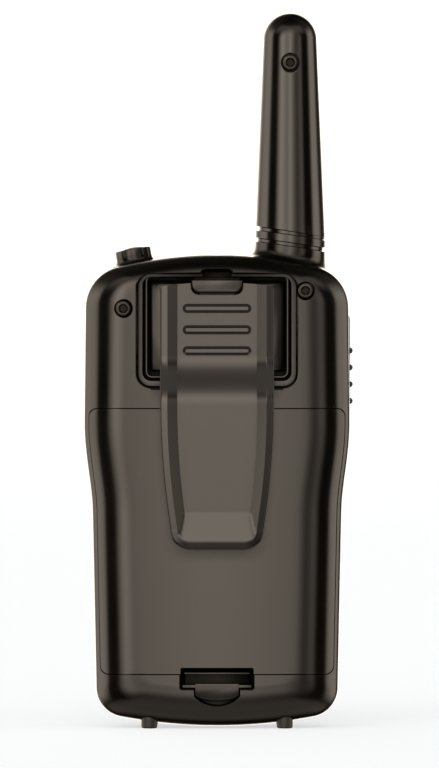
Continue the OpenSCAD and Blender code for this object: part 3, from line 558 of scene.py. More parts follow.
def top_height(x, y):
    """Height of the case's top at a place, following its rounded edges."""
    way, face = (ROUND, REAR_Y) if y < 0 else (FRONT_ROUND, FRONT_Y)
    start = abs(face) - way["depth"]
    s = min(0.98, max(0.0, (abs(y) - start) / way["depth"]))
    k = 1 - math.sqrt(1 - s * s)
    half = half_outline(side=way["side"] * k, top=way["top"] * k, base=way["base"] * k,
                        top_r=mix(TOP_CORNER_R, EDGE_R, k), base_r=mix(BASE_CORNER_R, EDGE_R, k), fine=0.6)
    up = [p for p in half if p[1] > 88]
    for (xa, za), (xb, zb) in zip(up, up[1:]):
        if xb <= abs(x) <= xa:
            t = (abs(x) - xb) / max(1e-6, xa - xb)
            return mix(zb, za, t)
    return up[0][1]


def flare(cx, radius, reach, rise, top_fn, n=96):
    """Rings of a boss that grows out of the case's top with a fillet, from below the surface upwards."""
    columns = []
    for i in range(n):
        a = 2 * math.pi * i / n
        c, s = math.cos(a), math.sin(a)
        f = reach(a)
        wall = (cx + radius * c, radius * s)
        foot = (cx + (radius + f) * c, (radius + f) * s)
        p0 = Vector((*wall, top_height(*wall) + rise(a)))
        p1 = Vector((*wall, top_height(*wall)))
        p2 = Vector((*foot, top_height(*foot)))
        column = [p2 + Vector((0.6 * c, 0.6 * s, -1.5)), p2 + Vector((0.02 * c, 0.02 * s, -0.03))]
        for j in range(1, 11):
            t = 1 - j / 10
            column.append((1 - t) ** 2 * p0 + 2 * t * (1 - t) * p1 + t * t * p2)
        column.append(Vector((*wall, top_fn(*wall))))
        columns.append(column)
    return [[tuple(col[j]) for col in columns] for j in range(len(columns[0]))]


GROOVE_TILT = math.radians(8.4)
STUB_Z = 111.2


def stub_top(x, y):
    return STUB_Z - 0.5 - math.tan(GROOVE_TILT) * (x - ANTENNA_X)


def stub_reach(a):
    return 3.1 - 0.5 * (0.5 + 0.5 * math.cos(a)) - 0.5 * math.sin(a) ** 2


stub_rings = flare(ANTENNA_X, SHEATH_R - 0.02, stub_reach, lambda a: 2.9 - 0.6 * (0.5 + 0.5 * math.cos(a)),
                   stub_top)
stub_skin = Skin(stub_rings[1:])


def stub(rear):
    ob = loft("stub", stub_rings)
    half = block(-5, -40, 80, 45, 0, 130) if rear else block(-5, 0, 80, 45, 40, 130)
    return combine(ob, [half], "INTERSECT")


def core(rear):
    """The hollow inside of a case half."""
    loop = outline(side=WALL, top=WALL, base=WALL, top_r=TOP_CORNER_R - WALL, base_r=BASE_CORNER_R - WALL,
                   fine=0.4)
    if rear:
        ob = stack_y("core", [(loop, REAR_Y + 6.5), (loop, 1.0)])
        return combine(ob, [block(TUB[0] - 1.2, -20, TUB[1] - 1.2, TUB[2] + 1.2, 5, TUB[3] + 1.2)])
    inner = outline(side=WALL + 3, top=WALL + 3, base=WALL + 3, top_r=6, base_r=5, fine=0.4)
    return stack_y("core", [(loop, -1.0), (loop, FRONT_Y - 4.4), (inner, FRONT_Y - WALL)])


def talk_cutter():
    z0, z1 = ptt_low.z + 1, ptt_high.z - 1
    loop = lambda g: rr(-5.2, z0 - 0.2, 5.2, z1 + 0.2, 1.8, g)
    half = half_width(80)
    return stack_x("talk", [(loop(0), 23.5), (loop(0), half - 0.35), (loop(0.12), half - 0.1),
            (loop(0.35), half + 0.05), (loop(0.5), 40)])


def tilted(ob, x, z, degrees):
    """Puts a solid made round the Z axis at its place in the turret's tilted frame."""
    ob.data.transform(Matrix.Translation((x, 0, z)) @ Matrix.Rotation(math.radians(degrees), 4, "Y"))
    return ob


def revolve(name, profile, n=96, cx=0.0, cy=0.0):
    """A solid of revolution about Z from (radius, z) points, closed at both ends."""
    rings = []
    for r, z in profile:
        ring = []
        for i in range(n):
            a = 2 * math.pi * i / n
            ring.append((cx + r * math.cos(a), cy + r * math.sin(a), z))
        rings.append(ring)
    return loft(name, rings)


TORCH_X = -18.9
TORCH_Z = BODY_TOP - 2
TORCH_TILT = -10


def round_y(x, z, r, y0, y1, n=64):
    return stack_y("bar", [(circle(x, z, r, n), y0), (circle(x, z, r, n), y1)])


def shared_cuts():
    cuts = [revolve("hole", [(6.1, 96), (6.1, 118)], cx=ANTENNA_X)]
    cuts.append(tilted(revolve("hole", [(3.9, -6), (3.9, 14)]), TORCH_X, TORCH_Z, TORCH_TILT))
    cuts.append(tilted(revolve("hole", [(4.3, -0.4), (4.3, 14)]), TORCH_X, TORCH_Z, TORCH_TILT))
    cuts.append(talk_cutter())
    for x in (feet_low.x + FOOT_R, feet_high.x - FOOT_R):
        for y in (feet_low.y + FOOT_R, feet_high.y - FOOT_R):
            cuts.append(revolve("hole", [(1.95, -2), (1.95, 6)], n=48, cx=x, cy=y))
    # Soft dip across the top, over the clip
    side = [(3.5, BODY_TOP - 0.24), (4.1, BODY_TOP - 0.02), (4.6, BODY_TOP + 3)]
    dip = [(-x, z) for x, z in reversed(side)] + [(0, BODY_TOP - 0.3)] + side
    cuts.append(stack_y("dip", [(dip, -30), (dip, 30)]))
    return cuts


def recess_loop(g):
    """The finger recess under the latch: straight sides and a shallow curve below."""
    half, r, low = 5.15 + g, 6.93 + g, 5.35 - g
    reach = math.asin(half / r)
    arc = [reach * i / 16 for i in range(-16, 17)]
    return [(-half, 12.7)] + [(r * math.sin(a), low + r - r * math.cos(a)) for a in arc] + [(half, 12.7)]


def rear_case():
    ob = loft("rear_case", rear_rings, caps=(True, False))
    combine(ob, [core(True)])
    combine(ob, [stub(True)], "UNION")
    seat_cut = combine(stack_y("opening", [(door_loop(0), -30), (door_loop(0), DOOR_EDGE_Y + 0.15)]),
                       [door_seat(0)])
    cuts = [seat_cut, block(TUB[0], -30, TUB[1], TUB[2], 1.6, TUB[3])]
    z0, z1 = POCKET_Z0, POCKET_Z1
    outer = lambda g: rr(-POCKET_HALF + 0.2, z0 + 0.3, POCKET_HALF - 0.2, z1 + 0.5, 3.0, g, 10)
    groove = lambda g: rr(-17.0, z0 + 1.7, 17.0, z1 - 0.4, 1.9, g, 10)
    inner = lambda g: rr(-16.0, z0 + 2.7, 16.0, z1 - 0.4, 1.1, g, 10)
    fence = rr(-16.3, z0 + 2.4, 16.3, z1 + 6, 1.4, 0, 10)
    cuts.append(pit(outer, LEDGE_Y, REAR_Y, lip=0.75, foot=0.3))
    slot = pit(groove, POCKET_FLOOR - 1, LEDGE_Y, lip=0.2, foot=0.2)
    cuts.append(combine(slot, [stack_y("fence", [(fence, FENCE_Y), (fence, 0)])]))
    cuts.append(pit(inner, POCKET_FLOOR, FENCE_Y, lip=0.08, foot=0.15))
    for x in (-TOE_X, TOE_X):
        cuts.append(block(x - 2.2, POCKET_FLOOR - 1.5, plate_low.z - 0.1, x + 2.2, POCKET_FLOOR,
                plate_low.z + 3))
    # Thumb scoop above the clip
    scoop = lambda g: rr(-3.4, z1 - 2, 3.4, 105.2, 0.9, g, 8)
    cuts.append(pit(scoop, POCKET_FLOOR - 1, REAR_Y + 0.6, lip=0.5, foot=0.4))
    # Latch window and finger recess
    window = lambda g: rr(-LATCH_HALF, LATCH_Z0, LATCH_HALF, LATCH_Z1, 0.5, g, 5)
    cuts.append(pit(window, -10.9, REAR_Y + 0.7, lip=0.25, foot=0.2))
    cuts.append(pit(recess_loop, -12.9, REAR_Y + 2.2, lip=0.15, foot=0.3))
    for x, z, y in SCREWS:
        if z > 50:
            cuts.append(pit(lambda g, x=x, z=z: circle(x, z, COUNTERBORE_R + g), y, REAR_Y, lip=0.25,
                    foot=0.2))
            cuts.append(round_y(x, z, SCREW_CLEAR_R, -30, 5, 32))
        else:
            cuts.append(round_y(x, z, COUNTERBORE_R, -30, y, 48))
    for x in (-HOOK_X, HOOK_X):
        cuts.append(block(x - 2.9, -14, TUB[3] - 1, x + 2.9, -11.4, 75.6))
    combine(ob, cuts + shared_cuts())
    return finish_piece(ob, "case", case_mat, ["rear_housing"], [rear_skin, stub_skin],
                        shape=lambda co: Vector(crowned(co)))


# ---------------------------------------------------------------- battery door and latch
def battery_door():
    ob = loft("battery_door_skin", rear_rings)
    edge = stack_y("edge", [(door_loop(0.5), REAR_Y - 1), (door_loop(0.2), REAR_Y + 0.3),
            (door_loop(0.2), DOOR_EDGE_Y)])
    combine(ob, [edge], "INTERSECT")
    opening = rr(-LATCH_HALF, 4, LATCH_HALF, LATCH_Z1, 0.4)
    cut = stack_y("gap", [(opening, -30), (opening, 0)])
    combine(ob, [door_seat(0.2), cut])
    hooks = []
    for x in (-HOOK_X, HOOK_X):
        hooks.append(block(x - 2.5, -13.7, 72.2, x + 2.5, -12.4, 73.2))
        hooks.append(block(x - 2.5, -13.3, 73.1, x + 2.5, -12.4, 75))
    combine(ob, hooks, "UNION")
    return finish_piece(ob, "door", case_mat, ["battery_door"], [rear_skin],
                        shape=lambda co: Vector(crowned(co)))


def battery_door_latch():
    z0 = latch_low.z + 2.85
    bar = bevelled(block(-8, -14.9, z0, 8, -11.4, z0 + 0.85, "latch"), 0.2, 3)
    radius = 13.8
    centre_z = latch_low.z + 0.1 + radius
    disc = circle(0, centre_z, radius, 192)
    tongue = combine(stack_y("tongue", [(circle(0, centre_z, 13.5, 192), -15.0), (disc, -14.75),
            (disc, -13.5)]),
                     [block(-4.95, -20, 3, 4.95, 0, z0 + 1.0)], "INTERSECT")
    back = bevelled(block(-7.5, -12.2, z0 + 0.1, 7.5, -11.4, latch_high.z), 0.15, 2)
    leg = bevelled(block(-7.5, -14.8, latch_high.z - 0.4, 7.5, -11.5, latch_high.z), 0.12, 3)
    combine(bar, [tongue, back, leg], "UNION")
    return finish_piece(bar, "door_latch", case_mat, ["battery_door_latch"], angle=40)


# ---------------------------------------------------------------- belt clip
PIVOT = (-14.2, 84.3)
LEVER_IN, BLADE_IN, BLADE_T = -16.4, REAR_Y - 4.4, 2.2
TIP_Z = clip_low.z
TIP_R = 4.6
TIP_X = 6.16
TAPER_Z, TAPER = 74, 0.0029
JOG_Z, JOG_H = 75.0, 10.2
RIDGE, FOOT_IN, RIDGE_DROP, DISH = 1.7, 3.95, 0.5, 0.9
EDGE_ROUND = 0.3
RIB_Z = (96.4, 91.5, 86.7)
EAR_X, LUG_X, LUG_HALF = 7.9, 10.1, 0.9
PIN_BORE_R = 1.0
TOP_Z = clip_high.z


def blade_half(z):
    if z < TIP_Z + TIP_R:
        return TIP_X + math.sqrt(max(0.0, TIP_R ** 2 - (TIP_Z + TIP_R - z) ** 2))
    return clip_high.x - TAPER * max(0.0, TAPER_Z - z) ** 2


def edge_distance(x, z):
    corner_z = TIP_Z + TIP_R
    if abs(x) > TIP_X and z < corner_z:
        return TIP_R - math.hypot(abs(x) - TIP_X, corner_z - z)
    return min(blade_half(z) - abs(x), z - TIP_Z)


def blade_step(z):
    """How far the lever lies inside the blade, 0 on the blade and 1 on the lever."""
    return smooth((z - JOG_Z) / JOG_H)


def blade_out(x, z):
    """The outer face: an edge that falls away, a ridge and a dished panel."""
    e = edge_distance(x, z)
    base = mix(BLADE_IN, LEVER_IN, blade_step(z)) - BLADE_T
    fall = RIDGE_DROP * (1 - e / RIDGE) if e < RIDGE else 0.0
    if e < EDGE_ROUND:
        fall += EDGE_ROUND - math.sqrt(max(0.0, 0.09 - (EDGE_ROUND - e) ** 2))
    side = (blade_half(z) - abs(x) - RIDGE) / (FOOT_IN - RIDGE)
    bottom = (z - TIP_Z - 2.0) / 6.4
    dip = 0.0 if e < RIDGE else min(1.0, max(0.0, min(side, bottom)))
    return base + fall + DISH * dip


def stadium(x_half, z, r, y0, y1):
    loop = rr(-x_half, z - r, x_half, z + r, r * 0.98, 0, 12)
    return stack_y("stadium", [(loop, y0), (loop, y1)])


def lug(x, base_y, r=2.1):
    """An ear with a bore for the pivot pin, its foot at base_y."""
    y, z = PIVOT
    way = -1 if base_y < y else 1
    bend = [math.radians(way * a) for a in range(-90, 91, 10)]
    loop = [(y - r * math.cos(a), z + r * math.sin(a)) for a in bend]
    loop += [(base_y, z + way * r), (base_y, z - way * r)]
    turn = [math.radians(a) for a in range(0, 360, 12)]
    bore = [(y + PIN_BORE_R * math.cos(a), z + PIN_BORE_R * math.sin(a)) for a in turn]
    ear = stack_x("ear", [(loop, x - LUG_HALF), (loop, x + LUG_HALF)])
    return combine(ear, [stack_x("hole", [(bore, x - LUG_HALF - 1), (bore, x + LUG_HALF + 1)])])


def clip_blade():
    near = [0, 0.03, 0.09, 0.18, 0.3, 0.6, 1.0, 1.4, 1.62, 1.7, 1.78, 2.4, 2.9, 3.4, 3.87, 3.95, 4.03, 4.4]
    inner = 44
    levels = [TIP_Z + 0.001, TIP_Z + 0.03, TIP_Z + 0.09] + [TIP_Z + 0.2 * i for i in range(1, 56)]
    levels += [levels[-1] + 0.75 * i for i in range(1, 32)]
    levels += [mix(levels[-1], 84.2, i / 30) for i in range(1, 31)]
    levels += [mix(84.2, TOP_Z + 0.6, i / 30) for i in range(1, 31)]
    rings = []
    for z in levels:
        h = blade_half(z)
        xs = [-h + e for e in near]
        xs += [mix(-h + near[-1], h - near[-1], i / inner) for i in range(1, inner)]
        xs += [h - e for e in reversed(near)]
        y_in = mix(BLADE_IN, LEVER_IN, blade_step(z))
        ring = [(x, blade_out(x, z), z) for x in xs]
        ring += [(h, y_in - 0.25, z), (h - 0.25, y_in, z), (-h + 0.25, y_in, z), (-h, y_in - 0.25, z)]
        rings.append(ring)
    ob = loft("blade", rings)
    side, r = clip_high.x, 1.1
    corner = []
    for i in range(9):
        a = math.radians(180 - 90 * i / 8)
        corner.append((-side + r + r * math.cos(a), TOP_Z - 1.95 + r * math.sin(a)))
    left = [(-20, TOP_Z + 6), (-20, TOP_Z - 3), (-side - 0.5, TOP_Z - 3)] + corner
    steps = [2 * i / 24 - 1 for i in range(1, 24)]
    arch = left + [((side - r) * s, TOP_Z - 0.85 * s ** 2) for s in steps] + [(-x, z)
            for x, z in reversed(left)]
    cuts = [stack_y("arch", [(arch, -40), (arch, 0)])]
    notch = lambda g: rr(-6, TOP_Z - 2.9, 6, TOP_Z + 6, 1.9, g, 10)
    panel = LEVER_IN - BLADE_T + DISH
    steps = [(notch(0), 0), (notch(0), panel + 0.15), (notch(0.06), panel - 0.1), (notch(0.1), -40)]
    cuts.append(stack_y("notch", steps))
    combine(ob, cuts)
    ribs, grooves = [], []
    for z in RIB_Z:
        ring = stadium(7.86, z, 1.06, panel - 3, panel + 0.45)
        combine(ring, [stadium(7.36, z, 0.56, -40, 0)])
        grooves.append(ring)
    combine(ob, grooves)
    for z in RIB_Z:
        small = rr(-7.2, z - 0.4, 7.2, z + 0.4, 0.38, 0, 12)
        big = rr(-7.36, z - 0.56, 7.36, z + 0.56, 0.54, 0, 12)
        ribs.append(stack_y("rib", [(big, panel + 0.5), (big, panel - 0.1), (small, panel - 0.25)]))
    # Lip at the tip
    def lip_loop(inset):
        half = [(blade_half(TIP_Z + s) - inset, TIP_Z + max(s, inset))
                for s in (0.01, 0.15, 0.4, 0.8, 1.3, 1.8, 2.2)]
        return half + [(-x, z) for x, z in reversed(half)]
    outer = lip_loop(0.05)
    ribs.append(stack_y("lip", [(outer, BLADE_IN - 0.2), (outer, BLADE_IN + 0.75),
            (lip_loop(0.3), BLADE_IN + 1)]))
    for x in (-EAR_X, EAR_X):
        ribs.append(lug(x, LEVER_IN - 1.1))
    combine(ob, ribs, "UNION")
    return finish_piece(ob, "clip", blade_mat, ["clip_blade"], angle=38)


def clip_base_plate():
    floor = POCKET_FLOOR
    face, back = floor - 1.3, floor - 0.05
    loop = lambda g: rr(plate_low.x, plate_low.z + 1.4, plate_high.x, plate_high.z, 0.8, g)
    ob = stack_y("plate", [(loop(-0.25), face), (loop(0), floor - 1.1), (loop(0), back)])
    z = plate_low.z
    toes = [bevelled(block(x - 2, face, z, x + 2, back, z + 2.4), 0.15, 2) for x in (-TOE_X, TOE_X)]
    combine(ob, toes, "UNION")
    windows = [block(-4.4, -20, 90.6, 4.4, 0, 104), block(-5.9, -20, TOP_Z - 2.6, 5.9, 0, 104)]
    combine(ob, windows)
    combine(ob, [lug(x, POCKET_FLOOR - 0.5) for x in (-LUG_X, LUG_X)], "UNION")
    return finish_piece(ob, "case", blade_mat, ["clip_base_plate"], angle=40)


def clip_release_tab():
    top = 103.5
    face = tab_low.y
    head = lambda g: rr(-5.82, tab_low.z + 9.0, 5.82, top + 4, 1.8, g, 8)
    ob = stack_y("tab", [(head(-0.45), face), (head(-0.2), face + 0.06), (head(-0.06), face + 0.2),
            (head(0), face + 0.45), (head(0), REAR_Y + 4.1)])
    combine(ob, [block(-9, -40, 102.75, 9, 0, top + 9)])
    floor = POCKET_FLOOR
    rest = [block(-4, floor - 1.25, tab_low.z, 4, floor - 0.25, top),
            block(-4, floor - 1.7, tab_low.z + 9.1, 4, floor - 0.25, top)]
    rest += [block(s * 4.2 - 1, floor - 1.9, top - 0.6, s * 4.2 + 1, floor - 0.9, tab_high.z)
             for s in (-1, 1)]
    combine(ob, rest, "UNION")
    return finish_piece(ob, "clip_finger", case_mat, ["clip_release_tab"], angle=40)


# ---------------------------------------------------------------- talk button
def ptt_button():
    z0, z1 = ptt_low.z + 1, ptt_high.z - 1
    face = ptt_high.x - 0.67
    loop = lambda g: rr(-5, z0, 5, z1, 1.6, g, 8)
    ob = stack_x("talk", [(loop(0), ptt_low.x + 0.7), (loop(0), face - 0.55), (loop(-0.08), face - 0.28),
            (loop(-0.28), face - 0.08), (loop(-0.6), face)])
    flange = rr(-6, z0 - 1, 6, z1 + 1, 1.6)
    more = [stack_x("flange", [(flange, ptt_low.x), (flange, ptt_low.x + 0.9)])]
    for i in range(4):
        z = ptt_low.z + 4.9 + 3.87 * i
        rings = []
        end = [(4, 0.3), (3.9, 0.52), (3.6, 0.68), (3.2, 0.72)]
        for y, r in [(-y, r) for y, r in end] + end[::-1]:
            turn = [math.radians(a) for a in range(0, 360, 15)]
            rings.append([(face - 0.05 + r * math.cos(a), y, z + r * math.sin(a)) for a in turn])
        more.append(loft("rib", rings))
    combine(ob, more, "UNION")
    return finish_piece(ob, "talk_button", rubber_mat, ["ptt_button"], angle=40)


# ---------------------------------------------------------------- antenna
TIP_RADIUS = 6.2
TAPER_FROM = 112
SCREW_Z = 153.1


def stub_frame():
    return Matrix.Translation((ANTENNA_X, 0, STUB_Z)) @ Matrix.Rotation(GROOVE_TILT, 4, "Y")


def sheath(inset, low):
    dome = sheath_high.z - TIP_RADIUS
    profile = [(SHEATH_R - inset, low), (SHEATH_R - inset, TAPER_FROM)]
    for i in range(1, 13):
        profile.append((mix(SHEATH_R, TIP_RADIUS, i / 12) - inset, mix(TAPER_FROM, dome, i / 12)))
    for i in range(1, 20):
        a = math.pi / 2 * i / 20
        profile.append(((TIP_RADIUS - inset) * math.cos(a), dome + (TIP_RADIUS - inset) * math.sin(a)))
    profile.append((0.12, dome + TIP_RADIUS - inset))
    return revolve("sheath", profile, 128, ANTENNA_X)


def antenna_shell(rear):
    ob = sheath(0, 104)
    under = block(-25, -25, -30.5, 25, 25, -0.45)
    under.data.transform(stub_frame())
    combine(ob, [under])
    rings = []
    for h in (-0.5, 2.1):
        low = [(7.75, h + 0.2), (7.9, h + 0.06), (8.1, h), (12, h - 0.3)]
        high = [(12, h + 1.3), (8.1, h + 1), (7.9, h + 0.94), (7.75, h + 0.8)]
        ring, tube = revolve("groove", low + high, 96), revolve("tube", [(7.72, -10), (7.72, 10)], 96)
        for piece in (ring, tube):
            piece.data.transform(stub_frame())
        rings.append(combine(ring, [tube]))
    combine(ob, rings)
    combine(ob, [revolve("spigot", [(6, 104), (6, 116)], 96, ANTENNA_X)], "UNION")
    combine(ob, [revolve("hole", [(4.6, 100), (4.6, 114.5)], 64, ANTENNA_X), sheath(1.5, 113.9)])
    # The halves stop just short of each other, so that no cut runs along a row of corners
    if rear:
        combine(ob, [block(-10, -0.02, 90, 45, 40, 180)], solver="MANIFOLD")
        combine(ob, [round_y(ANTENNA_X, SCREW_Z, 2.8, -5.3, -0.03, 48)], "UNION")
        combine(ob, [pit(lambda g: circle(ANTENNA_X, SCREW_Z, 2.2 + g), -4.7, -6.4, lip=0.25, foot=0.15),
                     round_y(ANTENNA_X, SCREW_Z, SCREW_CLEAR_R, -30, 5, 32)])
    else:
        combine(ob, [block(-10, -40, 90, 45, 0.02, 180)], solver="MANIFOLD")
        combine(ob, [round_y(ANTENNA_X, SCREW_Z, 2.4, 0.03, 5.2, 48)], "UNION")
        combine(ob, [round_y(ANTENNA_X, SCREW_Z, SCREW_CORE_R, -5, 4.6, 32)])
    node = "antenna_rear_shell" if rear else "antenna_front_shell"
    return finish_piece(ob, "case", sheath_mat, [node], angle=40)


# ---------------------------------------------------------------- torch turret
def torch_bezel():
    r, h = 4.15, 3.4
    profile = [(3.8, -4), (3.8, -0.45), (r + 1.1, -0.45), (r + 1.1, 0.05)]
    for i in range(1, 9):
        a = math.pi / 2 * i / 8
        profile.append((r + 1.1 * (1 - math.sin(a)), 0.05 + 1.5 * (1 - math.cos(a))))
    profile += [(r, h - 0.35), (r - 0.08, h - 0.12), (r - 0.3, h)]
    ob = revolve("bezel", profile, 96)
    cuts = [revolve("seat", [(3.35, h - 0.9), (3.35, h + 2)], 64), revolve("bore", [(2.9, -5), (2.9, 8)], 64)]
    for i in range(6):
        a = math.radians(60 * i)
        cuts.append(revolve("flute", [(0.5, 1.6), (0.5, 6)], 24, (r + 0.25) * math.cos(a),
                (r + 0.25) * math.sin(a)))
    combine(ob, cuts)
    tilted(ob, TORCH_X, TORCH_Z, TORCH_TILT)
    return finish_piece(ob, "case", case_mat, ["torch_bezel"], angle=35)


LENS_R = 9.0


def torch_lens():
    profile = [(3.3, 0), (3.3, 0.72)]
    for i in range(1, 14):
        x = 3.3 * (1 - i / 14)
        profile.append((x, math.sqrt(LENS_R ** 2 - x * x) - 7.6))
    profile.append((0.08, 1.399))
    ob = revolve("lens", profile, 96)
    ob.data.transform(Matrix.Translation((0, 0, 2.55)))
    tilted(ob, TORCH_X, TORCH_Z, TORCH_TILT)
    return finish_piece(ob, "case", lens_mat, ["torch_lens"], angle=40)


# ---------------------------------------------------------------- screws and feet
def screw(x, z, seat, length):
    """A pan-head self-tapping screw with a cross recess, along +Y."""
    rings = []
    shank = [(0.3, length), (1.0, length - 1.4), (1.1, length - 1.5), (1.1, 0.02)]
    head = [(1.93, 0.0), (1.95, -1.05), (1.88, -1.28), (1.7, -1.42), (1.4, -1.5), (0.1, -1.5)]
    turn = [2 * math.pi * i / 64 for i in range(64)]
    for r, y in shank + head:
        rings.append([(x + r * math.cos(a), seat + y, z + r * math.sin(a)) for a in turn])
    ob = loft("screw", rings)
    steps = ((0.75, 0.35), (0.95, 1.1), (1.15, 1.6))
    hollow = stack_y("hollow", [(circle(x, z, r, 48), seat - depth) for r, depth in steps])
    cross = []
    for w, h in ((1.0, 0.26), (0.26, 1.0)):
        cross.append(block(x - w, seat - 1.2, z - h, x + w, seat - 0.2, z + h))
    return combine(ob, [hollow] + cross)


def joined(parts):
    """One object from several separate solids."""
    verts, faces = [], []
    for part in parts:
        base = len(verts)
        verts += [v.co.copy() for v in part.data.vertices]
        faces += [tuple(base + i for i in p.vertices) for p in part.data.polygons]
        bpy.data.objects.remove(part, do_unlink=True)
    return make("joined", verts, faces)


def case_screws():
    ob = joined([screw(x, z, y - 0.02, -y - 0.1) for x, z, y in SCREWS])
    return finish_piece(ob, "case", screw_mat, ["case_screws"], angle=35)


def antenna_screw():
    return finish_piece(screw(ANTENNA_X, SCREW_Z, -4.72, 4.6), "case", screw_mat, ["antenna_screw"],
                        angle=35)


def feet():
    r = FOOT_R
    parts = []
    for x in (feet_low.x + r, feet_high.x - r):
        for y in (feet_low.y + r, feet_high.y - r):
            profile = [(0.1, 0.03), (r - 0.45, 0.0), (r - 0.22, 0.07), (r - 0.06, 0.22), (r, 0.45),
                       (r, feet_high.z)]
            parts.append(revolve("foot", profile, 64, x, y))
    return finish_piece(joined(parts), "case", rubber_mat, ["feet"], angle=40)


# ---------------------------------------------------------------- front panel
# Centre and half size of each key
KEYS = {"power": (-19, 62, 3.2, 3.2), "call": (19, 62, 3.2, 3.2), "menu": (0, 53, 3.6, 3.6),
        "up": (-9.5, 60, 4.2, 3.2), "down": (9.5, 60, 4.2, 3.2)}
SPEAKER_Z, SPEAKER_R = 27, 18
JACK = (5.5, 88)


def key_loop(name, g=0.0):
    x, z, hx, hz = KEYS[name]
    return rr(x - hx, z - hz, x + hx, z + hz, hz * 0.999, g, 12)


def front_case():
    ob = loft("front_case", front_rings, caps=(True, False))
    combine(ob, [core(False)])
    combine(ob, [stub(False)], "UNION")
    bosses = [round_y(x, z, 2.4, 0, FRONT_Y - WALL + 0.3, 40) for x, z, _ in SCREWS]
    ring = round_y(0, SPEAKER_Z, SPEAKER_R + 1.3, 11.4, FRONT_Y - WALL + 0.3, 96)
    combine(ring, [round_y(0, SPEAKER_Z, SPEAKER_R + 0.1, 11, FRONT_Y, 96)])
    combine(ob, bosses + [ring], "UNION")
    wx, wz = (window_high.x - window_low.x) / 2, (window_low.z + window_high.z) / 2
    wh = (window_high.z - window_low.z) / 2
    frame_hole = lambda g: rr(-wx - 0.1, wz - wh - 0.1, wx + 0.1, wz + wh + 0.1, 2.6, g)
    cuts = [pit(frame_hole, FRONT_Y - 1.5, FRONT_Y, lip=0.35, foot=0.1, out=1)]
    view = rr(-wx + 2, wz - wh + 2, wx - 2, wz + wh - 2, 1)
    cuts.append(stack_y("view", [(view, 0.5), (view, 30)]))
    for name in KEYS:
        cuts.append(pit(lambda g, name=name: key_loop(name, 0.2 + g), 5, FRONT_Y, lip=0.3, foot=0.1, out=1))
    for i in range(-4, 5):
        reach = math.sqrt((SPEAKER_R - 3) ** 2 - (3.2 * i) ** 2)
        z = SPEAKER_Z + 3.2 * i
        bar = lambda g, reach=reach, z=z: rr(-reach, z - 0.7, reach, z + 0.7, 0.65, g, 6)
        cuts.append(pit(bar, 5, FRONT_Y, lip=0.3, foot=0.1, out=1))
    cuts.append(pit(lambda g: circle(-19, 50, 0.7 + g, 32), 5, FRONT_Y, lip=0.2, foot=0.05, out=1))
    for x, z, _ in SCREWS:
        cuts.append(round_y(x, z, SCREW_CORE_R, -5, 7, 32))
    t = TUB
    cuts.append(block(t[0] - 1.3, -1, t[1] - 1.3, t[2] + 1.3, 2.9, t[3] + 1.3))
    seat = rr(JACK[0] - 3.6, JACK[1] - 5.1, JACK[0] + 3.6, JACK[1] + 5.1, 1.5)
    cuts.append(stack_x("seat", [(seat, -40), (seat, -29.2)]))
    hole = circle(*JACK, 2.7, 48)
    cuts.append(stack_x("hole", [(hole, -40), (hole, -20)]))
    combine(ob, cuts + shared_cuts())
    return finish_piece(ob, "case", case_mat, ["front_housing"], [front_skin, stub_skin])


def key_piece(name):
    x, z, hx, hz = KEYS[name]
    low, high = box_mm("key_" + name)
    edge = ((0, 0.45), (0.06, 0.25), (0.2, 0.1), (0.45, 0))
    loops = [(key_loop(name), low.y + 1.0)] + [(key_loop(name, -g), high.y - drop) for g, drop in edge]
    ob = stack_y("key", loops)
    stem = round_y(x, z, 2, low.y, low.y + 1.2, 40)
    combine(ob, [stem], "UNION")
    bars = [rr(x - 1.5, z + s * 0.9 - 0.2, x + 1.5, z + s * 0.9 + 0.2, 0.19) for s in (-1, 0, 1)]
    mark = {"power": [rr(x - 0.22, z + 0.1, x + 0.22, z + 1.7, 0.2)], "call": [circle(x, z, 1.0, 32)],
            "menu": bars, "up": [[(x - 1.2, z - 0.7), (x + 1.2, z - 0.7), (x, z + 0.9)]],
            "down": [[(x + 1.2, z + 0.7), (x - 1.2, z + 0.7), (x, z - 0.9)]]}[name]
    combine(ob, [stack_y("mark", [(m, high.y - 0.18), (m, high.y + 1)]) for m in mark])
    return finish_piece(ob, name + "_key", key_mat, ["key_" + name], angle=40)


def display_window():
    low, high = window_low, window_high
    loop = lambda g: rr(low.x, low.z, high.x, high.z, 2.5, g)
    ob = stack_y("window", [(loop(0), low.y), (loop(0), high.y - 0.25), (loop(-0.07), high.y - 0.07),
            (loop(-0.25), high.y)])
    return finish_piece(ob, "case", window_mat, ["display_window"], angle=35)


def jack_cover():
    low, high = box_mm("jack_cover")
    loop = lambda g: rr(low.y, low.z, high.y, high.z, 1.4, g)
    ob = stack_x("cover", [(loop(-0.3), low.x), (loop(-0.1), low.x + 0.07), (loop(0), low.x + 0.28),
            (loop(0), high.x)])
    return finish_piece(ob, "jack_flap", rubber_mat, ["jack_cover"], angle=40)


BUILD = {"rear_case": rear_case, "front_case": front_case, "door": battery_door,
         "latch": battery_door_latch, "clip": clip_blade, "clip_plate": clip_base_plate,
         "clip_finger": clip_release_tab, "talk": ptt_button,
         "antenna_rear": lambda: antenna_shell(True), "antenna_front": lambda: antenna_shell(False),
         "torch": torch_bezel, "torch_glass": torch_lens, "screws": case_screws,
         "antenna_fixing": antenna_screw, "rubber_feet": feet, "cover_glass": display_window,
         "jack_lid": jack_cover}
for name, maker in BUILD.items():
    maker().name = name
for name in KEYS:
    key_piece(name).name = name + "_button"

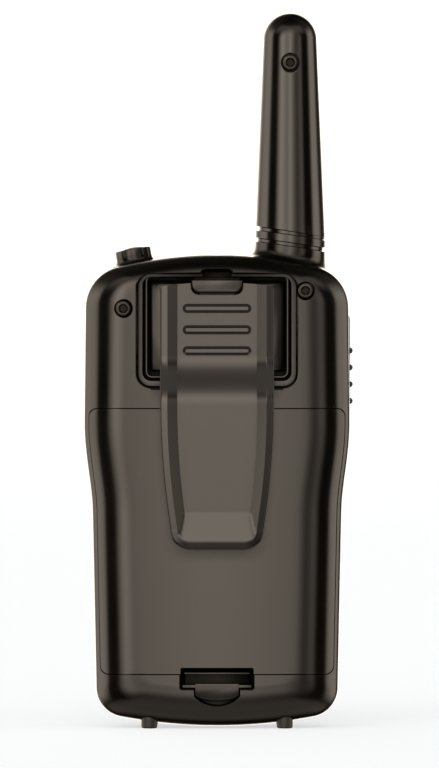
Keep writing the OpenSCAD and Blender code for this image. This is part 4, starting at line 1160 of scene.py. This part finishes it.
# ---------------------------------------------------------------- CAD nodes that keep their shape
SLOT_MATERIALS = {"case": case_mat, "blade": blade_mat, "rubber": rubber_mat, "key": key_mat,
                  "steel": steel_mat, "screw": screw_mat, "copper": copper_mat, "former": former_mat,
                  "lens": lens_mat, "chrome": chrome_mat, "led": led_mat, "window": window_mat,
                  "display": display_mat, "board": board_mat, "chip": chip_mat, "magnet": magnet_mat,
                  "cone": cone_mat, "cloth": cloth_mat, "cell": cell_mat, "wire": wire_mat}
for row in frame["record"]["subparts"]:
    ob = frame["nodes"][row["node"]]
    ob.data.materials.clear()
    ob.data.materials.append(SLOT_MATERIALS[row["material_slot"]])

# ---------------------------------------------------------------- stage, light, camera
FLOOR_R, COVE_R, WALL_TOP = 2.4, 1.6, 4.5       # the backdrop, in metres
CAMERA_DISTANCE = 2.0
CAMERA_X = 0.000575
VIEW_HEIGHT = 1.0722                            # height of the view and of the camera, as shares
CAMERA_HEIGHT = 0.4803                          # of the object's height
SENSOR = 24
FRONT_STRENGTH, REAR_STRENGTH = 4.6, 2.0


def studio():
    world = bpy.data.worlds.new("studio")
    bpy.context.scene.world = world
    world.use_nodes = True
    tree = world.node_tree
    link = tree.links.new
    back = tree.nodes["Background"]
    where = tree.nodes.new("ShaderNodeTexCoord")
    split = tree.nodes.new("ShaderNodeSeparateXYZ")
    link(where.outputs["Generated"], split.inputs["Vector"])

    def ramp(axis, stops):
        """Brightness against one coordinate of the direction, from -1 to 1."""
        span = add(tree, "ShaderNodeMapRange")
        span.inputs["From Min"].default_value = -1
        link(split.outputs[axis], span.inputs["Value"])
        node = tree.nodes.new("ShaderNodeValToRGB")
        while len(node.color_ramp.elements) < len(stops):
            node.color_ramp.elements.new(0.5)
        for e, (pos, value) in zip(node.color_ramp.elements, stops):
            e.position = (pos + 1) / 2
            e.color = (value, value, value, 1)
        link(span.outputs["Result"], node.inputs["Fac"])
        return node.outputs["Color"]

    def math_of(operation, a, b):
        node = tree.nodes.new("ShaderNodeMath")
        node.operation = operation
        for socket, value in zip(node.inputs, (a, b)):
            if isinstance(value, float):
                socket.default_value = value
            else:
                link(value, socket)
        return node.outputs["Value"]

    # The front light, brightest at the upper left
    depth = ramp("Y", [(-1, 1), (-0.82, 1), (-0.72, 0.5), (-0.62, 0), (1, 0)])
    across = ramp("X", [(-1, 1), (-0.5, 1), (-0.28, 0.62), (-0.14, 0.6), (-0.02, 0.95), (0.08, 0.78),
                        (0.22, 0.38),
                        (0.4, 0.12), (0.55, 0.2), (0.7, 0.6), (1, 0.6)])
    height = ramp("Z", [(-1, 0.02), (-0.7, 0.08), (-0.5, 0.2), (-0.3, 0.6), (-0.12, 0.48), (0.06, 1.0),
                        (0.35, 1.0),
                        (0.55, 0.5), (0.75, 0.22), (1, 0.1)])
    front = math_of("MULTIPLY", math_of("MULTIPLY", depth, across),
                    math_of("MULTIPLY", height, FRONT_STRENGTH))
    # Strips behind the radio, which end sooner on the right
    strips = ramp("Y", [(-1, 0), (-0.22, 0), (-0.1, 1.1), (0.0, 1.5), (0.3, 1.1), (0.6, 0.4),
                        (0.78, 0.8), (0.92, 1.8), (1, 1.8)])
    level = ramp("Z", [(-1, 0), (-0.6, 0.05), (-0.35, 1), (0.3, 1), (0.6, 0.1), (1, 0)])
    left = ramp("X", [(-1, 1), (-0.1, 1), (0.1, 0), (1, 0)])
    early = ramp("Y", [(-1, 1), (0.35, 1), (0.55, 0.08), (0.85, 0.08), (0.94, 1), (1, 1)])
    span = math_of("MAXIMUM", left, early)
    rear_light = math_of("MULTIPLY", math_of("MULTIPLY", strips, level),
            math_of("MULTIPLY", span, REAR_STRENGTH))
    # A weak light overhead and the floor's own bounce
    near_side = ramp("Y", [(-1, 1), (-0.4, 1), (-0.1, 0), (1, 0)])
    overhead = ramp("Z", [(-1, 0), (0.35, 0), (0.55, 0.9), (0.8, 1.0), (0.9, 0.15), (1, 0)])
    bounce_side = ramp("Y", [(-1, 1), (0.1, 1), (0.4, 0), (1, 0)])
    bounce = ramp("Z", [(-1, 0.5), (-0.85, 0.6), (-0.72, 0.5), (-0.6, 0), (1, 0)])
    weak = math_of("ADD", math_of("MULTIPLY", near_side, overhead), math_of("MULTIPLY", bounce_side, bounce))
    both = math_of("ADD", math_of("ADD", front, rear_light), weak)
    back.inputs["Color"].default_value = (1.0, 0.87, 0.73, 1)
    link(both, back.inputs["Strength"])

    profile = [(0.0, 0.0), (FLOOR_R / 2, 0.0), (FLOOR_R, 0.0)]
    for i in range(1, 17):
        a = math.pi / 2 * i / 16
        profile.append((FLOOR_R + COVE_R * math.sin(a), COVE_R * (1 - math.cos(a))))
    profile.append((FLOOR_R + COVE_R, WALL_TOP))
    verts, faces, n = [], [], 96
    for r, z in profile:
        for i in range(n):
            a = 2 * math.pi * i / n
            verts.append((r * math.cos(a), r * math.sin(a), z))
    for j in range(len(profile) - 1):
        for i in range(n):
            k = (i + 1) % n
            faces.append((j * n + i, j * n + k, (j + 1) * n + k, (j + 1) * n + i))
    floor = tidy(make("floor", verts, faces))
    floor.data.polygons.foreach_set("use_smooth", [True] * len(floor.data.polygons))
    floor.visible_glossy = False
    floor.visible_diffuse = False
    floor.visible_shadow = False
    floor.visible_transmission = True
    mat, tree, shader = node_material("pale_floor")
    shader.inputs["Base Color"].default_value = (0.6, 0.7, 0.84, 1)
    shader.inputs["Roughness"].default_value = 0.9
    shader.inputs["Specular IOR Level"].default_value = 0.0
    shader.inputs["Emission Color"].default_value = (1, 1, 1, 1)
    shader.inputs["Emission Strength"].default_value = 0.6
    floor.data.materials.append(mat)

    scene = bpy.context.scene
    scene.view_settings.view_transform = "Standard"
    data = bpy.data.cameras.new("camera")
    cam = bpy.data.objects.new("camera", data)
    scene.collection.objects.link(cam)
    scene.camera = cam
    height = cad_box[1][2] - cad_box[0][2]
    cam.location = (CAMERA_X, -CAMERA_DISTANCE, height * CAMERA_HEIGHT)
    cam.rotation_euler = (math.pi / 2, 0, 0)
    data.sensor_fit = "VERTICAL"
    data.sensor_height = SENSOR
    data.lens = SENSOR * (CAMERA_DISTANCE + MIDDLE.y + REAR_Y / 2 * MM) / (height * VIEW_HEIGHT)
    data.clip_start = 0.01
    data.clip_end = 20


studio()
